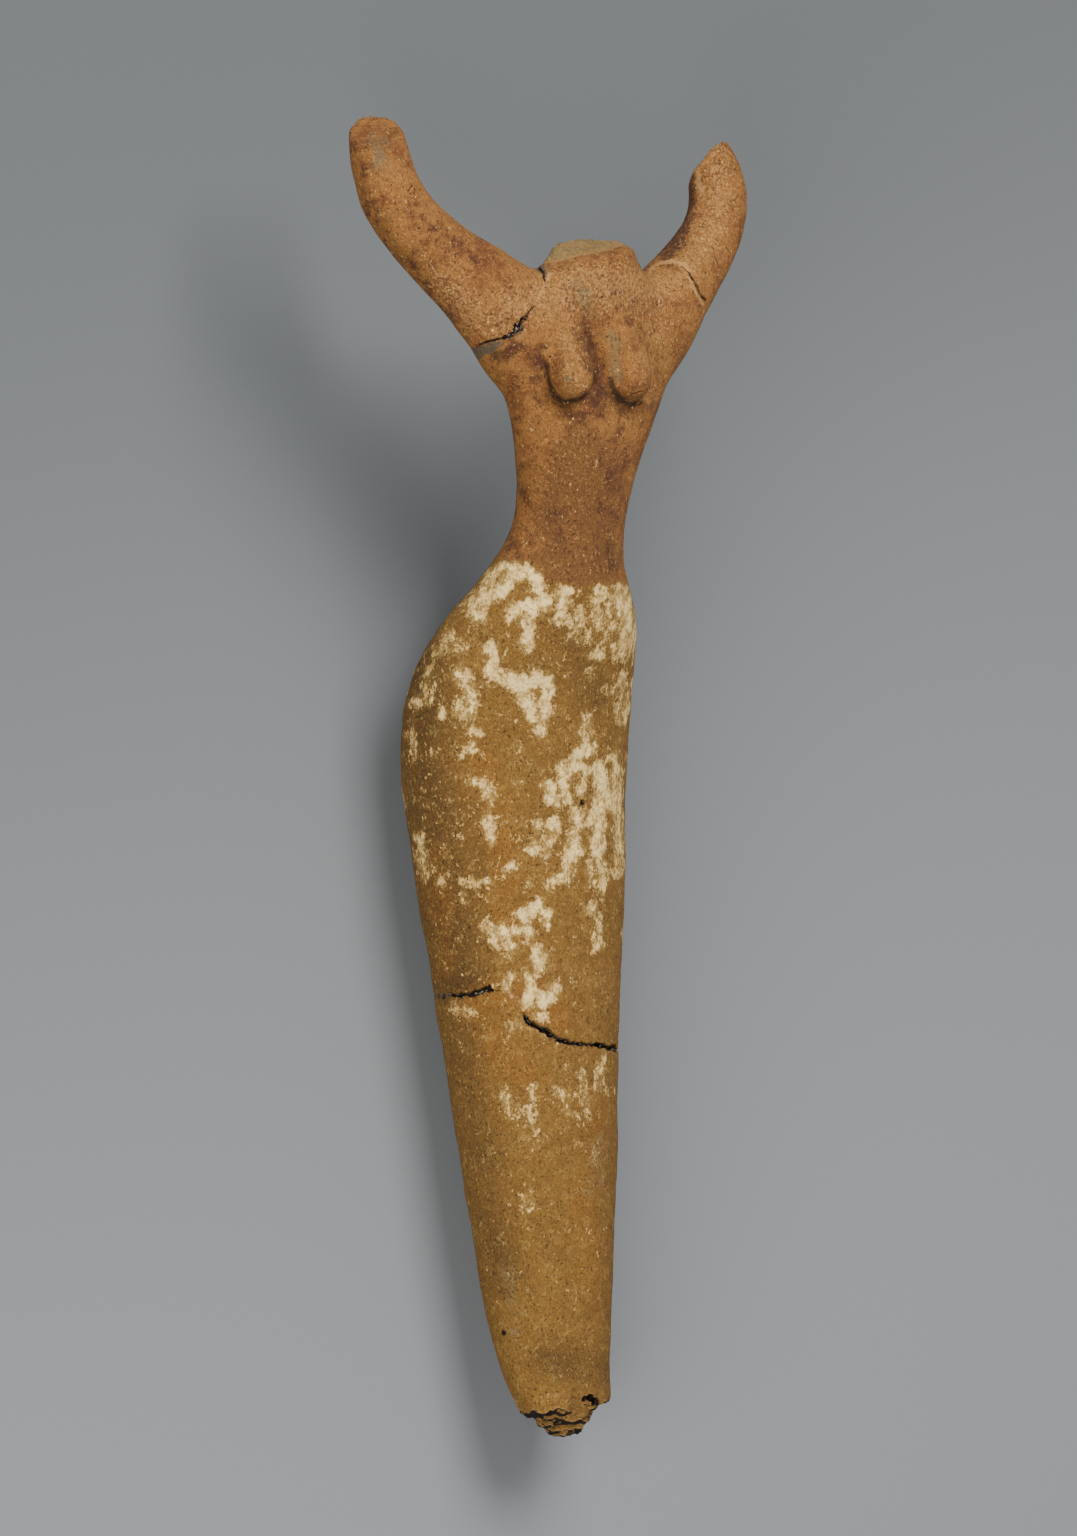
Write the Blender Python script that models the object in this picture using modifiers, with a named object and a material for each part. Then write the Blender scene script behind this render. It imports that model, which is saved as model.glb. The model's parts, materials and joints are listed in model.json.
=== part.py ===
"""A broken clay figure of a woman with raised arms, lying on its back.

The figure is shaped upright: +Z runs from the foot to the head, -Y is the front and +X is the
figure's own left. An empty then lays it down, so that the front faces up and the head end points
along +Y. Everything is in metres.
"""

import math
from collections import namedtuple

import bmesh
import bpy
import numpy as np
from mathutils import Matrix, Vector, noise
from mathutils.bvhtree import BVHTree

# Driving sizes of the figure, measured upright
BODY_LENGTH = 0.340
HIP_WIDTH = 0.0648
HIP_DEPTH = 0.0466
WAIST_WIDTH = 0.0304
WAIST_DEPTH = 0.0242
CHEST_WIDTH = 0.0545
CHEST_DEPTH = 0.0232
NECK_WIDTH = 0.0219
NECK_DEPTH = 0.0194
FOOT_WIDTH = 0.0290
FOOT_DEPTH = 0.0218
BUTTOCK_SETBACK = 0.0258
RIGHT_ARM_REACH = 0.0556
LEFT_ARM_REACH = 0.0512
RIGHT_ARM_GIRTH = 0.0290
LEFT_ARM_GIRTH = 0.0258
RIGHT_ARM_LIFT = 0.0010
ARM_THICKNESS = 0.0160
LEFT_ARM_CURL = 0.0040
BREAST_SPACING = 0.0184
BREAST_WIDTH = 0.0112
BREAST_PROJECTION = 0.0054
BREAST_OFFSET = -0.0030
FOOT_CORE_LENGTH = 0.0074
CRACK_GAP = 0.0016
CRACK_DEPTH = 0.0016
BREAK_GRAIN = 0.0045
BREAK_RELIEF = 0.0007
REST_FLAT_DEPTH = 0.0003

# How finely the surface is built
BODY_RING_POINTS = 16
LIMB_RING_POINTS = 10
CAGE_LEVELS = 2
VOXEL = 0.0012
JOIN_SMOOTHING = 26
LUMP_SMOOTHING = 3
SOLID_FACES = 7000

Section = namedtuple("Section", "height width depth back")
Station = namedtuple("Station", "side front height width depth")


def emptied_scene():
    """Removes every object and returns the collections for the figure and for its cutters."""
    for thing in list(bpy.data.objects):
        bpy.data.objects.remove(thing)
    collections = []
    for name in ("female_figure", "cutters"):
        collection = bpy.data.collections.new(name)
        bpy.context.scene.collection.children.link(collection)
        collections.append(collection)
    return collections


def between(low, high, share):
    return low + (high - low) * share


def eased(value, start, end):
    """0 before start, 1 after end and a smooth step between them."""
    share = min(1.0, max(0.0, (value - start) / (end - start)))
    return share * share * (3 - 2 * share)


def ring_growth(points):
    """How much larger a ring of a cage is than the smooth ring that subdivision leaves of it."""
    return 3 / (2 + math.cos(2 * math.pi / points))


def body_sections():
    """The body's cross-sections from below the foot to above the neck.

    Heights are shares of the body length, and widths and depths grow from one named size to the
    next. The last number is how far the section's centre stands behind the waist's, as a share of
    the buttocks' setback on the skirt and the belly, and of the chest's depth above the waist.
    """
    skirt = [
        (-0.020, -0.28, -0.010),
        (0.008, -0.12, 0.010),
        (0.036, 0.00, 0.228),
        (0.066, 0.116, 0.341),
        (0.096, 0.207, 0.407),
        (0.142, 0.296, 0.465),
        (0.187, 0.408, 0.535),
        (0.233, 0.492, 0.612),
        (0.278, 0.553, 0.670),
        (0.324, 0.659, 0.748),
        (0.369, 0.743, 0.806),
        (0.415, 0.844, 0.876),
        (0.460, 0.927, 0.942),
        (0.500, 0.975, 0.990),
        (0.540, 1.000, 0.975),
        (0.568, 0.990, 0.880),
    ]
    belly = [
        (0.596, 0.895, 0.716),
        (0.626, 0.650, 0.477),
        (0.657, 0.225, 0.264),
        (0.680, 0.045, 0.100),
        (0.704, 0.000, 0.000),
    ]
    ribs = [
        (0.733, 0.160, 0.08, -0.095),
        (0.763, 0.450, 0.40, -0.190),
        (0.793, 0.790, 0.75, -0.237),
        (0.820, 1.000, 0.95, -0.233),
        (0.848, 0.740, 1.00, -0.259),
    ]
    neck = [
        (0.872, 0.62, 0.50, -0.302),
        (0.892, 0.00, 0.00, -0.366),
        (0.930, -0.06, -0.10, -0.431),
    ]
    sections = []
    for height, share, setback in skirt:
        width = between(FOOT_WIDTH, HIP_WIDTH, share)
        depth = between(FOOT_DEPTH, HIP_DEPTH, share)
        sections.append(Section(height * BODY_LENGTH, width, depth, setback * BUTTOCK_SETBACK))
    for height, share, setback in belly:
        width = between(WAIST_WIDTH, HIP_WIDTH, share)
        depth = between(WAIST_DEPTH, HIP_DEPTH, share)
        sections.append(Section(height * BODY_LENGTH, width, depth, setback * BUTTOCK_SETBACK))
    for height, wide, deep, setback in ribs:
        width = between(WAIST_WIDTH, CHEST_WIDTH, wide)
        depth = between(WAIST_DEPTH, CHEST_DEPTH, deep)
        sections.append(Section(height * BODY_LENGTH, width, depth, setback * CHEST_DEPTH))
    for height, wide, deep, setback in neck:
        width = between(NECK_WIDTH, CHEST_WIDTH, wide)
        depth = between(NECK_DEPTH, CHEST_DEPTH, deep)
        sections.append(Section(height * BODY_LENGTH, width, depth, setback * CHEST_DEPTH))
    return sections


def section_back(height):
    """How far behind the waist's centre the body's centre stands at a height."""
    sections = body_sections()
    return float(np.interp(height, [s.height for s in sections], [s.back for s in sections]))


def tube_mesh(name, rings):
    """A closed tube of quads through rings of as many points each."""
    cage = bmesh.new()
    loops = [[cage.verts.new(point) for point in ring] for ring in rings]
    count = len(loops[0])
    for low, high in zip(loops, loops[1:]):
        for i in range(count):
            j = (i + 1) % count
            cage.faces.new((low[i], low[j], high[j], high[i]))
    cage.faces.new(reversed(loops[0]))
    cage.faces.new(loops[-1])
    bmesh.ops.recalc_face_normals(cage, faces=cage.faces)
    mesh = bpy.data.meshes.new(name)
    cage.to_mesh(mesh)
    cage.free()
    return mesh


def rounded_tube(name, rings, collection):
    """An object of the tube through the rings, rounded by subdivision."""
    tube = bpy.data.objects.new(name, tube_mesh(name, rings))
    collection.objects.link(tube)
    rounding = tube.modifiers.new("rounding", "SUBSURF")
    rounding.levels = CAGE_LEVELS
    rounding.render_levels = CAGE_LEVELS
    return tube


def body(collection):
    """Skirt, waist, chest and neck in one lofted form."""
    growth = ring_growth(BODY_RING_POINTS)
    rings = []
    for section in body_sections():
        ring = []
        for i in range(BODY_RING_POINTS):
            angle = 2 * math.pi * i / BODY_RING_POINTS
            side = section.width / 2 * growth * math.cos(angle)
            back = section.back + section.depth / 2 * growth * math.sin(angle)
            ring.append((side, back, section.height))
        rings.append(ring)
    return rounded_tube("female_figure", rings, collection)


def limb(name, stations, collection):
    """A tube of oval sections that follows the stations and turns with their path."""
    growth = ring_growth(LIMB_RING_POINTS)
    centres = [Vector((s.side, -s.front, s.height)) for s in stations]
    rings = []
    for i, station in enumerate(stations):
        before = centres[max(i - 1, 0)]
        after = centres[min(i + 1, len(centres) - 1)]
        along = (after - before).normalized()
        across = along.cross(Vector((0, 1, 0))).normalized()
        deep = across.cross(along)
        ring = []
        for k in range(LIMB_RING_POINTS):
            angle = 2 * math.pi * k / LIMB_RING_POINTS
            spread = across * (station.width / 2 * growth * math.cos(angle))
            ring.append(centres[i] + spread + deep * (station.depth / 2 * growth * math.sin(angle)))
        rings.append(ring)
    return rounded_tube(name, rings, collection)


def arm_stations(side_sign, reach, girth, lift, curl, end_height):
    """A raised arm from inside the chest, out past the elbow and up to beyond its broken end.

    Sides are shares of the arm's reach, heights of the body length, widths of the girth at the
    shoulder, and fronts and depths of the arm's thickness. The lift raises the whole arm, and the
    curl bends its end back towards the head.
    """
    path = [
        (0.20, 0.28, 0.797, 0.95, 1.25),
        (0.34, 0.34, 0.829, 1.00, 1.25),
        (0.48, 0.34, 0.853, 0.95, 1.20),
        (0.625, 0.19, 0.873, 0.79, 1.14),
        (0.745, 0.06, 0.889, 0.70, 1.10),
        (0.865, -0.06, 0.907, 0.645, 1.08),
        (0.950, -0.19, 0.924, 0.620, 1.06),
        (0.990, -0.28, 0.940, 0.612, 1.03),
        (1.012, -0.375, 0.958, 0.590, 0.98),
        (1.017, -0.45, 0.976, 0.535, 0.92),
        (1.026, -0.51, 1.000, 0.480, 0.85),
        (1.034, -0.56, 1.030, 0.430, 0.80),
    ]
    curl_start = 0.935
    curl_height = 0.040
    stations = []
    for side, front, height, wide, deep in path:
        if height > end_height:
            break
        bend = curl * (max(0.0, height - curl_start) / curl_height) ** 2
        place = side_sign * (side * reach - bend)
        width = girth * wide
        depth = ARM_THICKNESS * deep
        forward = ARM_THICKNESS * front
        stations.append(Station(place, forward, height * BODY_LENGTH + lift, width, depth))
    return stations


def breast_stations(side_sign, ridge_length):
    """A long low ridge on the chest that ends below in a rounded lump.

    The ridge length is a share of the distance from the lump's middle up to the collar.
    """
    lump_middle = 0.801
    chest_front = -section_back(lump_middle * BODY_LENGTH) + CHEST_DEPTH / 2
    lump_front = chest_front + BREAST_PROJECTION - BREAST_WIDTH / 2
    path = [
        (0.80, -0.55, 0.065, 0.46),
        (0.84, -0.39, 0.049, 0.70),
        (0.92, -0.20, 0.031, 0.88),
        (0.98, -0.05, 0.013, 1.00),
        (1.00, 0.00, 0.000, 1.04),
        (1.00, 0.02, -0.010, 0.90),
        (1.00, 0.02, -0.0155, 0.52),
    ]
    stations = []
    for side, front, rise, wide in path:
        place = BREAST_OFFSET + side_sign * side * BREAST_SPACING / 2
        width = BREAST_WIDTH * wide
        height = (lump_middle + rise * (ridge_length if rise > 0 else 1)) * BODY_LENGTH
        stations.append(Station(place, lump_front + BREAST_WIDTH * front, height, width, width))
    return stations


def facing_frame(facing):
    """Axes with +Z along facing and with +X as near as can be to the figure's left."""
    out = Vector(facing).normalized()
    left = (Vector((1, 0, 0)) - out * out.x).normalized()
    return Matrix((left, out.cross(left), out)).transposed().to_4x4()


def fracture_block(name, centre, facing, radius, relief, collection):
    """A block whose near face is a rough break through centre, looking along facing.

    relief gives the height of the break over the plane at two places across it.
    """
    cells = 18
    block_height = 1.5 * radius
    block = bmesh.new()
    bmesh.ops.create_grid(block, x_segments=cells, y_segments=cells, size=radius)
    sheet = list(block.faces)
    for vertex in block.verts:
        vertex.co.z = relief(vertex.co.x, vertex.co.y)
    lifted = bmesh.ops.extrude_face_region(block, geom=sheet)["geom"]
    for vertex in (item for item in lifted if isinstance(item, bmesh.types.BMVert)):
        vertex.co.z = block_height
    bmesh.ops.recalc_face_normals(block, faces=block.faces)
    mesh = bpy.data.meshes.new(name)
    block.to_mesh(mesh)
    block.free()
    cutter = bpy.data.objects.new(name, mesh)
    collection.objects.link(cutter)
    cutter.matrix_basis = Matrix.Translation(centre) @ facing_frame(facing)
    return cutter


def roughness(seed, strength=1.0):
    """A relief function of broken clay."""

    def relief(u, v):
        place = Vector((u / BREAK_GRAIN, v / BREAK_GRAIN, seed))
        return BREAK_RELIEF * strength * (noise.noise(place) + 0.5 * noise.noise(place * 2.3))

    return relief


def neck_relief(u, v):
    """The break through the neck, chipped away at the figure's right."""
    chip = NECK_WIDTH * 0.14 * eased(-u, NECK_WIDTH * 0.28, NECK_WIDTH * 0.60)
    return roughness(1.7)(u, v) - chip


def foot_relief(u, v):
    """The break under the foot: a torn core that stands out below a ragged outer shell.

    The block looks down here, so the break's height above the foot's end counts as minus.
    """
    bearing = math.radians(36)
    right_to_left = u * math.cos(bearing) + v * math.sin(bearing)
    back_to_front = -u * math.sin(bearing) + v * math.cos(bearing)
    core_reach = FOOT_WIDTH * 0.33
    core_side = FOOT_WIDTH * -0.010
    from_core = math.hypot(right_to_left - core_side, back_to_front) / core_reach
    slope = 1 + 0.60 * right_to_left / FOOT_WIDTH
    shell = FOOT_CORE_LENGTH * slope * eased(from_core, 0.38, 0.98)
    hole_side = right_to_left - FOOT_WIDTH * 0.17
    hole_front = back_to_front - FOOT_DEPTH * 0.36
    hole_size = FOOT_WIDTH * 0.10
    hole = FOOT_CORE_LENGTH * 0.6 * math.exp(-(hole_side ** 2 + hole_front ** 2) / hole_size ** 2)
    return roughness(7.3, 1.3)(u, v) - shell - hole


def boolean(target, name, other, operation):
    """Adds an exact Boolean modifier, and hides the object that it uses."""
    modifier = target.modifiers.new(name, "BOOLEAN")
    modifier.operation = operation
    modifier.solver = "EXACT"
    modifier.object = other
    other.hide_render = True
    other.display_type = "WIRE"


def remesh(target, name, smoothing):
    """Turns the joined forms into one even skin and eases the creases between them."""
    skin = target.modifiers.new(name + "_skin", "REMESH")
    skin.mode = "VOXEL"
    skin.voxel_size = VOXEL
    ease = target.modifiers.new(name + "_ease", "SMOOTH")
    ease.factor = 0.5
    ease.iterations = smoothing


def evaluated_points(thing):
    """The corners of an object's evaluated mesh and its triangles, in its own space."""
    graph = bpy.context.evaluated_depsgraph_get()
    mesh = bpy.data.meshes.new_from_object(thing.evaluated_get(graph))
    mesh.calc_loop_triangles()
    points = np.array([vertex.co for vertex in mesh.vertices])
    triangles = np.array([triangle.vertices for triangle in mesh.loop_triangles])
    bpy.data.meshes.remove(mesh)
    return points, triangles


def crack_blade(name, skin, path, collection):
    """A thin wedge along a crack, from just outside the skin to the crack's depth.

    The path gives, for each place, the side and the height that a level ray aims at, as shares of
    the chest's width and the body length, the bearing that the ray comes from (90 degrees is the
    front) and the share of the gap's full width. A ray that passes beside a limb takes the nearest
    place on the skin instead.
    """
    far = BODY_LENGTH
    rise = CRACK_DEPTH * 0.6
    touched = []
    for side, height, bearing, _ in path:
        level = height * BODY_LENGTH
        target = Vector((side * CHEST_WIDTH, section_back(level), level))
        angle = math.radians(bearing)
        outwards = Vector((math.cos(angle), -math.sin(angle), 0))
        place, normal, _, _ = skin.ray_cast(target + outwards * far, -outwards)
        if place is None:
            place, normal, _, _ = skin.find_nearest(target)
        touched.append((place, normal))
    rings = []
    for i, (place, normal) in enumerate(touched):
        along = touched[min(i + 1, len(touched) - 1)][0] - touched[max(i - 1, 0)][0]
        across = along.cross(normal).normalized()
        opening = path[i][3]
        lip = across * (CRACK_GAP / 2 * opening * (1 + rise / CRACK_DEPTH))
        root = place - normal * (CRACK_DEPTH * (0.4 + 0.6 * opening))
        rings.append([place + normal * rise + lip, place + normal * rise - lip, root])
    blade = bpy.data.objects.new(name, tube_mesh(name, rings))
    collection.objects.link(blade)
    return blade


def centre_of_mass(points, triangles):
    """The centre of the volume inside a closed mesh."""
    a, b, c = (points[triangles[:, i]] for i in range(3))
    volumes = np.einsum("ij,ij->i", a, np.cross(b, c))
    return ((a + b + c) * volumes[:, None]).sum(0) / (4 * volumes.sum())


def resting_tilt(points, centre):
    """The angle between the figure's own axis and a table that it lies on with its back.

    As the head end rises, the place where the back touches the table moves towards the foot. The
    figure rests where that place passes under the centre of mass.
    """
    steepest = 25.0
    step = 0.05
    for tilt in np.radians(np.arange(0.0, steepest, step)):
        drop = points[:, 2] * math.sin(tilt) - points[:, 1] * math.cos(tilt)
        along = points[:, 2] * math.cos(tilt) + points[:, 1] * math.sin(tilt)
        balance = centre[2] * math.cos(tilt) + centre[1] * math.sin(tilt)
        if along[np.argmin(drop)] < balance:
            return tilt
    return math.radians(steepest)


def clay():
    """Fired river clay, seen without its paint."""
    material = bpy.data.materials.new("painted_terracotta")
    material.use_nodes = True
    shader = material.node_tree.nodes["Principled BSDF"]
    shader.inputs["Base Color"].default_value = (0.47, 0.26, 0.11, 1.0)
    shader.inputs["Roughness"].default_value = 0.85
    shader.inputs["Metallic"].default_value = 0.0
    return material


def add_limbs(figure, collection):
    """Joins the arms and then the breasts to the body, and returns their shapes by name."""
    right_arm = arm_stations(-1, RIGHT_ARM_REACH, RIGHT_ARM_GIRTH, RIGHT_ARM_LIFT, 0.0, 1.04)
    left_arm = arm_stations(1, LEFT_ARM_REACH, LEFT_ARM_GIRTH, 0.0, LEFT_ARM_CURL, 1.00)
    arms = {"right_arm": right_arm, "left_arm": left_arm}
    breasts = {"right_breast": breast_stations(-1, 0.75), "left_breast": breast_stations(1, 1.0)}
    shapes = {}
    for group, easing, smoothing in (
        (arms, "arms", JOIN_SMOOTHING),
        (breasts, "lumps", LUMP_SMOOTHING),
    ):
        for name, stations in group.items():
            shapes[name] = limb(name, stations, collection)
            boolean(figure, name, shapes[name], "UNION")
        remesh(figure, easing, smoothing)
    return shapes, arms


def place_on(stations, height):
    """The middle of a limb at a height."""
    heights = [s.height for s in stations]
    side = np.interp(height, heights, [s.side for s in stations])
    front = np.interp(height, heights, [s.front for s in stations])
    return Vector((side, -front, height))


def break_ends(figure, arms, collection):
    """Cuts the neck, both arms and the foot off along rough breaks."""
    neck_height = 0.9005 * BODY_LENGTH
    neck = Vector((0.0, section_back(neck_height), neck_height))
    foot = Vector((0.0, FOOT_DEPTH * 0.14, 0.0))
    right_end = place_on(arms["right_arm"], 0.9880 * BODY_LENGTH)
    left_end = place_on(arms["left_arm"], 0.9700 * BODY_LENGTH)
    right_waste = arms["right_arm"][-1].height - right_end.z
    left_waste = arms["left_arm"][-1].height - left_end.z
    right_radius = ARM_THICKNESS * 0.5 + right_waste * 0.7
    left_radius = ARM_THICKNESS * 0.5 + left_waste
    breaks = {
        "neck_break": (neck, (-0.15, -0.24, 0.96), NECK_WIDTH * 0.9, neck_relief),
        "right_arm_break": (right_end, (-0.30, -0.44, 0.84), right_radius, roughness(3.1)),
        "left_arm_break": (left_end, (-0.454, 0.578, 0.707), left_radius, roughness(5.9)),
        "foot_break": (foot, (0.0, 0.0, -1.0), FOOT_WIDTH * 0.9, foot_relief),
    }
    cutters = []
    for name, (centre, facing, radius, relief) in breaks.items():
        cutter = fracture_block(name, centre, facing, radius, relief, collection)
        boolean(figure, name, cutter, "DIFFERENCE")
        cutters.append(cutter)
    return cutters


def open_cracks(figure, collection):
    """Opens the glued joins that gape: two stretches at the knee and one at the right shoulder."""
    points, triangles = evaluated_points(figure)
    skin = BVHTree.FromPolygons(points.tolist(), triangles.tolist())
    cracks = {
        "knee_crack_right": [
            (0.0, 0.3350, 214, 0.5), (0.0, 0.3365, 196, 1.2), (0.0, 0.3385, 176, 1.1),
            (0.0, 0.3390, 156, 1.0), (0.0, 0.3370, 140, 0.5), (0.0, 0.3300, 129, 0.3),
        ],
        "knee_crack_left": [
            (0.0, 0.3180, 121, 0.4), (0.0, 0.3080, 111, 1.2), (0.0, 0.3010, 98, 1.0),
            (0.0, 0.2970, 74, 0.8), (0.0, 0.2940, 48, 1.1), (0.0, 0.2920, 28, 0.5),
        ],
        "shoulder_crack": [
            (-0.301, 0.8523, 126, 0.3), (-0.347, 0.8440, 126, 1.1), (-0.400, 0.8357, 126, 1.2),
            (-0.453, 0.8289, 126, 1.0), (-0.539, 0.8255, 126, 0.8), (-0.617, 0.8225, 126, 0.5),
        ],
    }
    blades = []
    for name, path in cracks.items():
        blade = crack_blade(name, skin, path, collection)
        boolean(figure, name, blade, "DIFFERENCE")
        blades.append(blade)
    return blades


def lay_down(figure, lying, collection):
    """Lays the figure on its back, with the box's foot at the origin, and flattens what touches."""
    points, triangles = evaluated_points(figure)
    tilt = resting_tilt(points, centre_of_mass(points, triangles))
    turn = tilt - math.pi / 2
    laid = points @ np.array(Matrix.Rotation(turn, 3, "X")).T
    low, high = laid.min(0), laid.max(0)
    lying.rotation_euler.x = turn
    lying.location = (
        -(low[0] + high[0]) / 2,
        -(low[1] + high[1]) / 2,
        -low[2] - REST_FLAT_DEPTH,
    )
    table_size = BODY_LENGTH * 2
    bpy.ops.mesh.primitive_cube_add(size=table_size, location=(0, 0, -table_size / 2))
    table = bpy.context.object
    table.name = "table_flat"
    for owner in list(table.users_collection):
        owner.objects.unlink(table)
    collection.objects.link(table)
    boolean(figure, "rest_flat", table, "DIFFERENCE")


def main():
    figures, cutters = emptied_scene()
    lying = bpy.data.objects.new("lying_pose", None)
    figures.objects.link(lying)

    figure = body(figures)
    figure.data.materials.append(clay())
    shapes, arms = add_limbs(figure, cutters)

    lighter = figure.modifiers.new("fewer_faces", "DECIMATE")
    _, triangles = evaluated_points(figure)
    lighter.ratio = SOLID_FACES / len(triangles)

    ends = break_ends(figure, arms, cutters)
    cracks = open_cracks(figure, cutters)
    for shape in (figure, *shapes.values(), *ends, *cracks):
        shape.parent = lying
    lay_down(figure, lying, cutters)


main()
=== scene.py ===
# %% [markdown]
# # A broken clay figure that lies on its back
#
# The real object is one lump of fired river clay, shaped by hand, painted white on the skirt and
# put together again from fragments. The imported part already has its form. This notebook gives it a
# finer skin, opens the cracks, and lays down the clay's colours and what is left of the paint.
#
# The first cell loads the part as a fixed frame that nothing here moves. Its box is kept, because
# the finished figure has to stay inside it.

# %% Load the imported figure
import json
import math

import bmesh
import bpy
import numpy as np
from mathutils import Matrix, Vector, noise
from mathutils.bvhtree import BVHTree

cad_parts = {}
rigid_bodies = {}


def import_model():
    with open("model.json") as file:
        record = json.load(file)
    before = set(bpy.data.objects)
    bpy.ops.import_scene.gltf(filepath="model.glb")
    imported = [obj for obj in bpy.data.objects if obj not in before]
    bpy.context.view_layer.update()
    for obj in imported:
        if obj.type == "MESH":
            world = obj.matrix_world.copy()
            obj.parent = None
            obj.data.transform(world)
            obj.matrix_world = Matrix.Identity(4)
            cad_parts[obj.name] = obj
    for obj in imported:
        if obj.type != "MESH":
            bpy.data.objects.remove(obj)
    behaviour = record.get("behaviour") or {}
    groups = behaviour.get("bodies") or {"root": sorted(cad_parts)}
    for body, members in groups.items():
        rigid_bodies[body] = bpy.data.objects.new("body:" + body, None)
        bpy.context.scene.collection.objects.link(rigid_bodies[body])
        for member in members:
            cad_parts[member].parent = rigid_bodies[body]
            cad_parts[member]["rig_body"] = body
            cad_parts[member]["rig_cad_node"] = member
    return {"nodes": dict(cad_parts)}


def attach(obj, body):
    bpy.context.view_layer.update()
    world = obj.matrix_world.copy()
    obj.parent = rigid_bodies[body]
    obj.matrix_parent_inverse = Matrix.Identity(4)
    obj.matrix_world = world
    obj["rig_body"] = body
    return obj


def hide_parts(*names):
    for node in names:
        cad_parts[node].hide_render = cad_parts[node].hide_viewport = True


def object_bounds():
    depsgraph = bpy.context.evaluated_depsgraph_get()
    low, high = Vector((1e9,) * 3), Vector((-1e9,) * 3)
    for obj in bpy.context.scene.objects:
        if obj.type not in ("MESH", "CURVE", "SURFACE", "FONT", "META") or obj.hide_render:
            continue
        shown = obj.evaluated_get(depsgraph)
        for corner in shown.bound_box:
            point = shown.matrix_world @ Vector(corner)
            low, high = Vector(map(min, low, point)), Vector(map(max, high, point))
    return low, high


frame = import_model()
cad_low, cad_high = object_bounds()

MM = 0.001
node = frame["nodes"]["female_figure"]
print("box in mm:", [round(1000 * side) for side in cad_high - cad_low])

# %% [markdown]
# ## Two ways to say where something is
#
# The figure lies down, but a crack or a flake of paint is easier to place on a standing one: so
# far across, so high above the foot, seen from such a bearing. A table of world coordinates would
# say the same, but nobody could read it. So the lying pose is written once, and numpy turns points
# between the two. A bearing of 90 degrees looks at the front, and 0 at the figure's own left side.

# %% Standing and lying coordinates
LYING_TURN = math.radians(-83.15)
LYING_PLACE = np.array((0.0032, -0.1698, 0.0273))
BODY_LENGTH = 0.340
VIEW_BEARING = 126
to_lying = np.array(Matrix.Rotation(LYING_TURN, 3, "X"))


def lying(points):
    """Standing points (left, back, up), laid down as the part lies."""
    return np.asarray(points) @ to_lying.T + LYING_PLACE


def standing(points):
    """Points of the lying figure, stood up on the foot."""
    return (np.asarray(points) - LYING_PLACE) @ to_lying


def sight(bearing):
    """The directions towards a level viewer at a bearing, and to that viewer's right."""
    angle = math.radians(bearing)
    towards = np.array((math.cos(angle), -math.sin(angle), 0.0))
    rightwards = np.array((math.sin(angle), math.cos(angle), 0.0))
    return towards, rightwards


print("foot and head end:", lying([(0, 0, 0), (0, 0, BODY_LENGTH)]).round(3).tolist())

# %% [markdown]
# ## The camera
#
# The picture shows the figure upright, turned a little to its left. Here it lies, so the camera
# looks down on it from its right side instead, square to the body. A very long lens from far away
# gives the calm, nearly parallel view of a museum photograph. A shorter lens close by would swell
# the hips and shrink the foot.

# %% Place the camera
PHOTO_HEIGHT_M = 0.3957
FRAME_CENTRE = (-0.0086, 0.1723)
CAMERA_DISTANCE = 6.0

towards, rightwards = sight(VIEW_BEARING)
aim_standing = rightwards * FRAME_CENTRE[0] + np.array((0, 0, FRAME_CENTRE[1]))
aim = Vector(lying(aim_standing))
towards_camera = Vector(to_lying @ towards)
up_the_body = Vector(to_lying @ np.array((0, 0, 1.0)))
right_of_view = Vector(to_lying @ rightwards)
bpy.ops.object.camera_add(location=aim + towards_camera * CAMERA_DISTANCE)
camera = bpy.context.object
camera.name = "camera"
turn = Matrix((right_of_view, up_the_body, towards_camera)).transposed()
camera.rotation_euler = turn.to_euler()
camera.data.lens = camera.data.sensor_width * CAMERA_DISTANCE / PHOTO_HEIGHT_M
camera.data.clip_end = 30
bpy.context.scene.camera = camera
print("lens in mm:", round(camera.data.lens))

# %% [markdown]
# ## Floor and light
#
# A plain grey floor and soft lights, so that nothing competes with the clay. The main light is a
# large panel above and beyond the head, which throws the shadow down and towards the foot, and lets
# the hollows under the breasts go dark. A second panel at the figure's right, which is weaker on
# it, and the grey world keep the shaded side readable. A single large sky light would be simpler,
# but it would flatten the modelling of the clay.

# %% Build the studio
def soft_panel(name, direction, distance, size, power):
    """A square light panel that looks at the figure from a direction in world axes."""
    out = Vector(direction).normalized()
    bpy.ops.object.light_add(type="AREA", location=aim + out * distance)
    panel = bpy.context.object
    panel.name = name
    panel.rotation_euler = out.to_track_quat("Z", "Y").to_euler()
    panel.data.size = size
    panel.data.energy = power


soft_panel("key_panel", direction=(0.01, 0.53, 0.83), distance=1.3, size=0.80, power=31)
soft_panel("fill_panel", direction=(-0.80, -0.28, 0.56), distance=1.7, size=1.1, power=38)

world = bpy.data.worlds.new("studio")
bpy.context.scene.world = world
world.use_nodes = True
background = world.node_tree.nodes["Background"]
background.inputs["Color"].default_value = (0.88, 0.92, 0.96, 1)
background.inputs["Strength"].default_value = 0.35

bpy.ops.mesh.primitive_plane_add(size=40, location=(0, 0, 0))
floor = bpy.context.object
floor.name = "floor"

# %% [markdown]
# ## A finer skin
#
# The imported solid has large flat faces, which is right for weighing and touching it, but clay that
# fingers have smoothed has none. Subdividing those faces would keep their uneven pattern. A voxel
# remesh lays one even skin over the whole form instead, and smoothing then takes the facets out.
# The breaks, the breasts and the tips of the arms are mostly spared, to keep their edges.

# %% Copy the solid and remesh it
SKIN_VOXEL = 0.94 * MM


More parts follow.
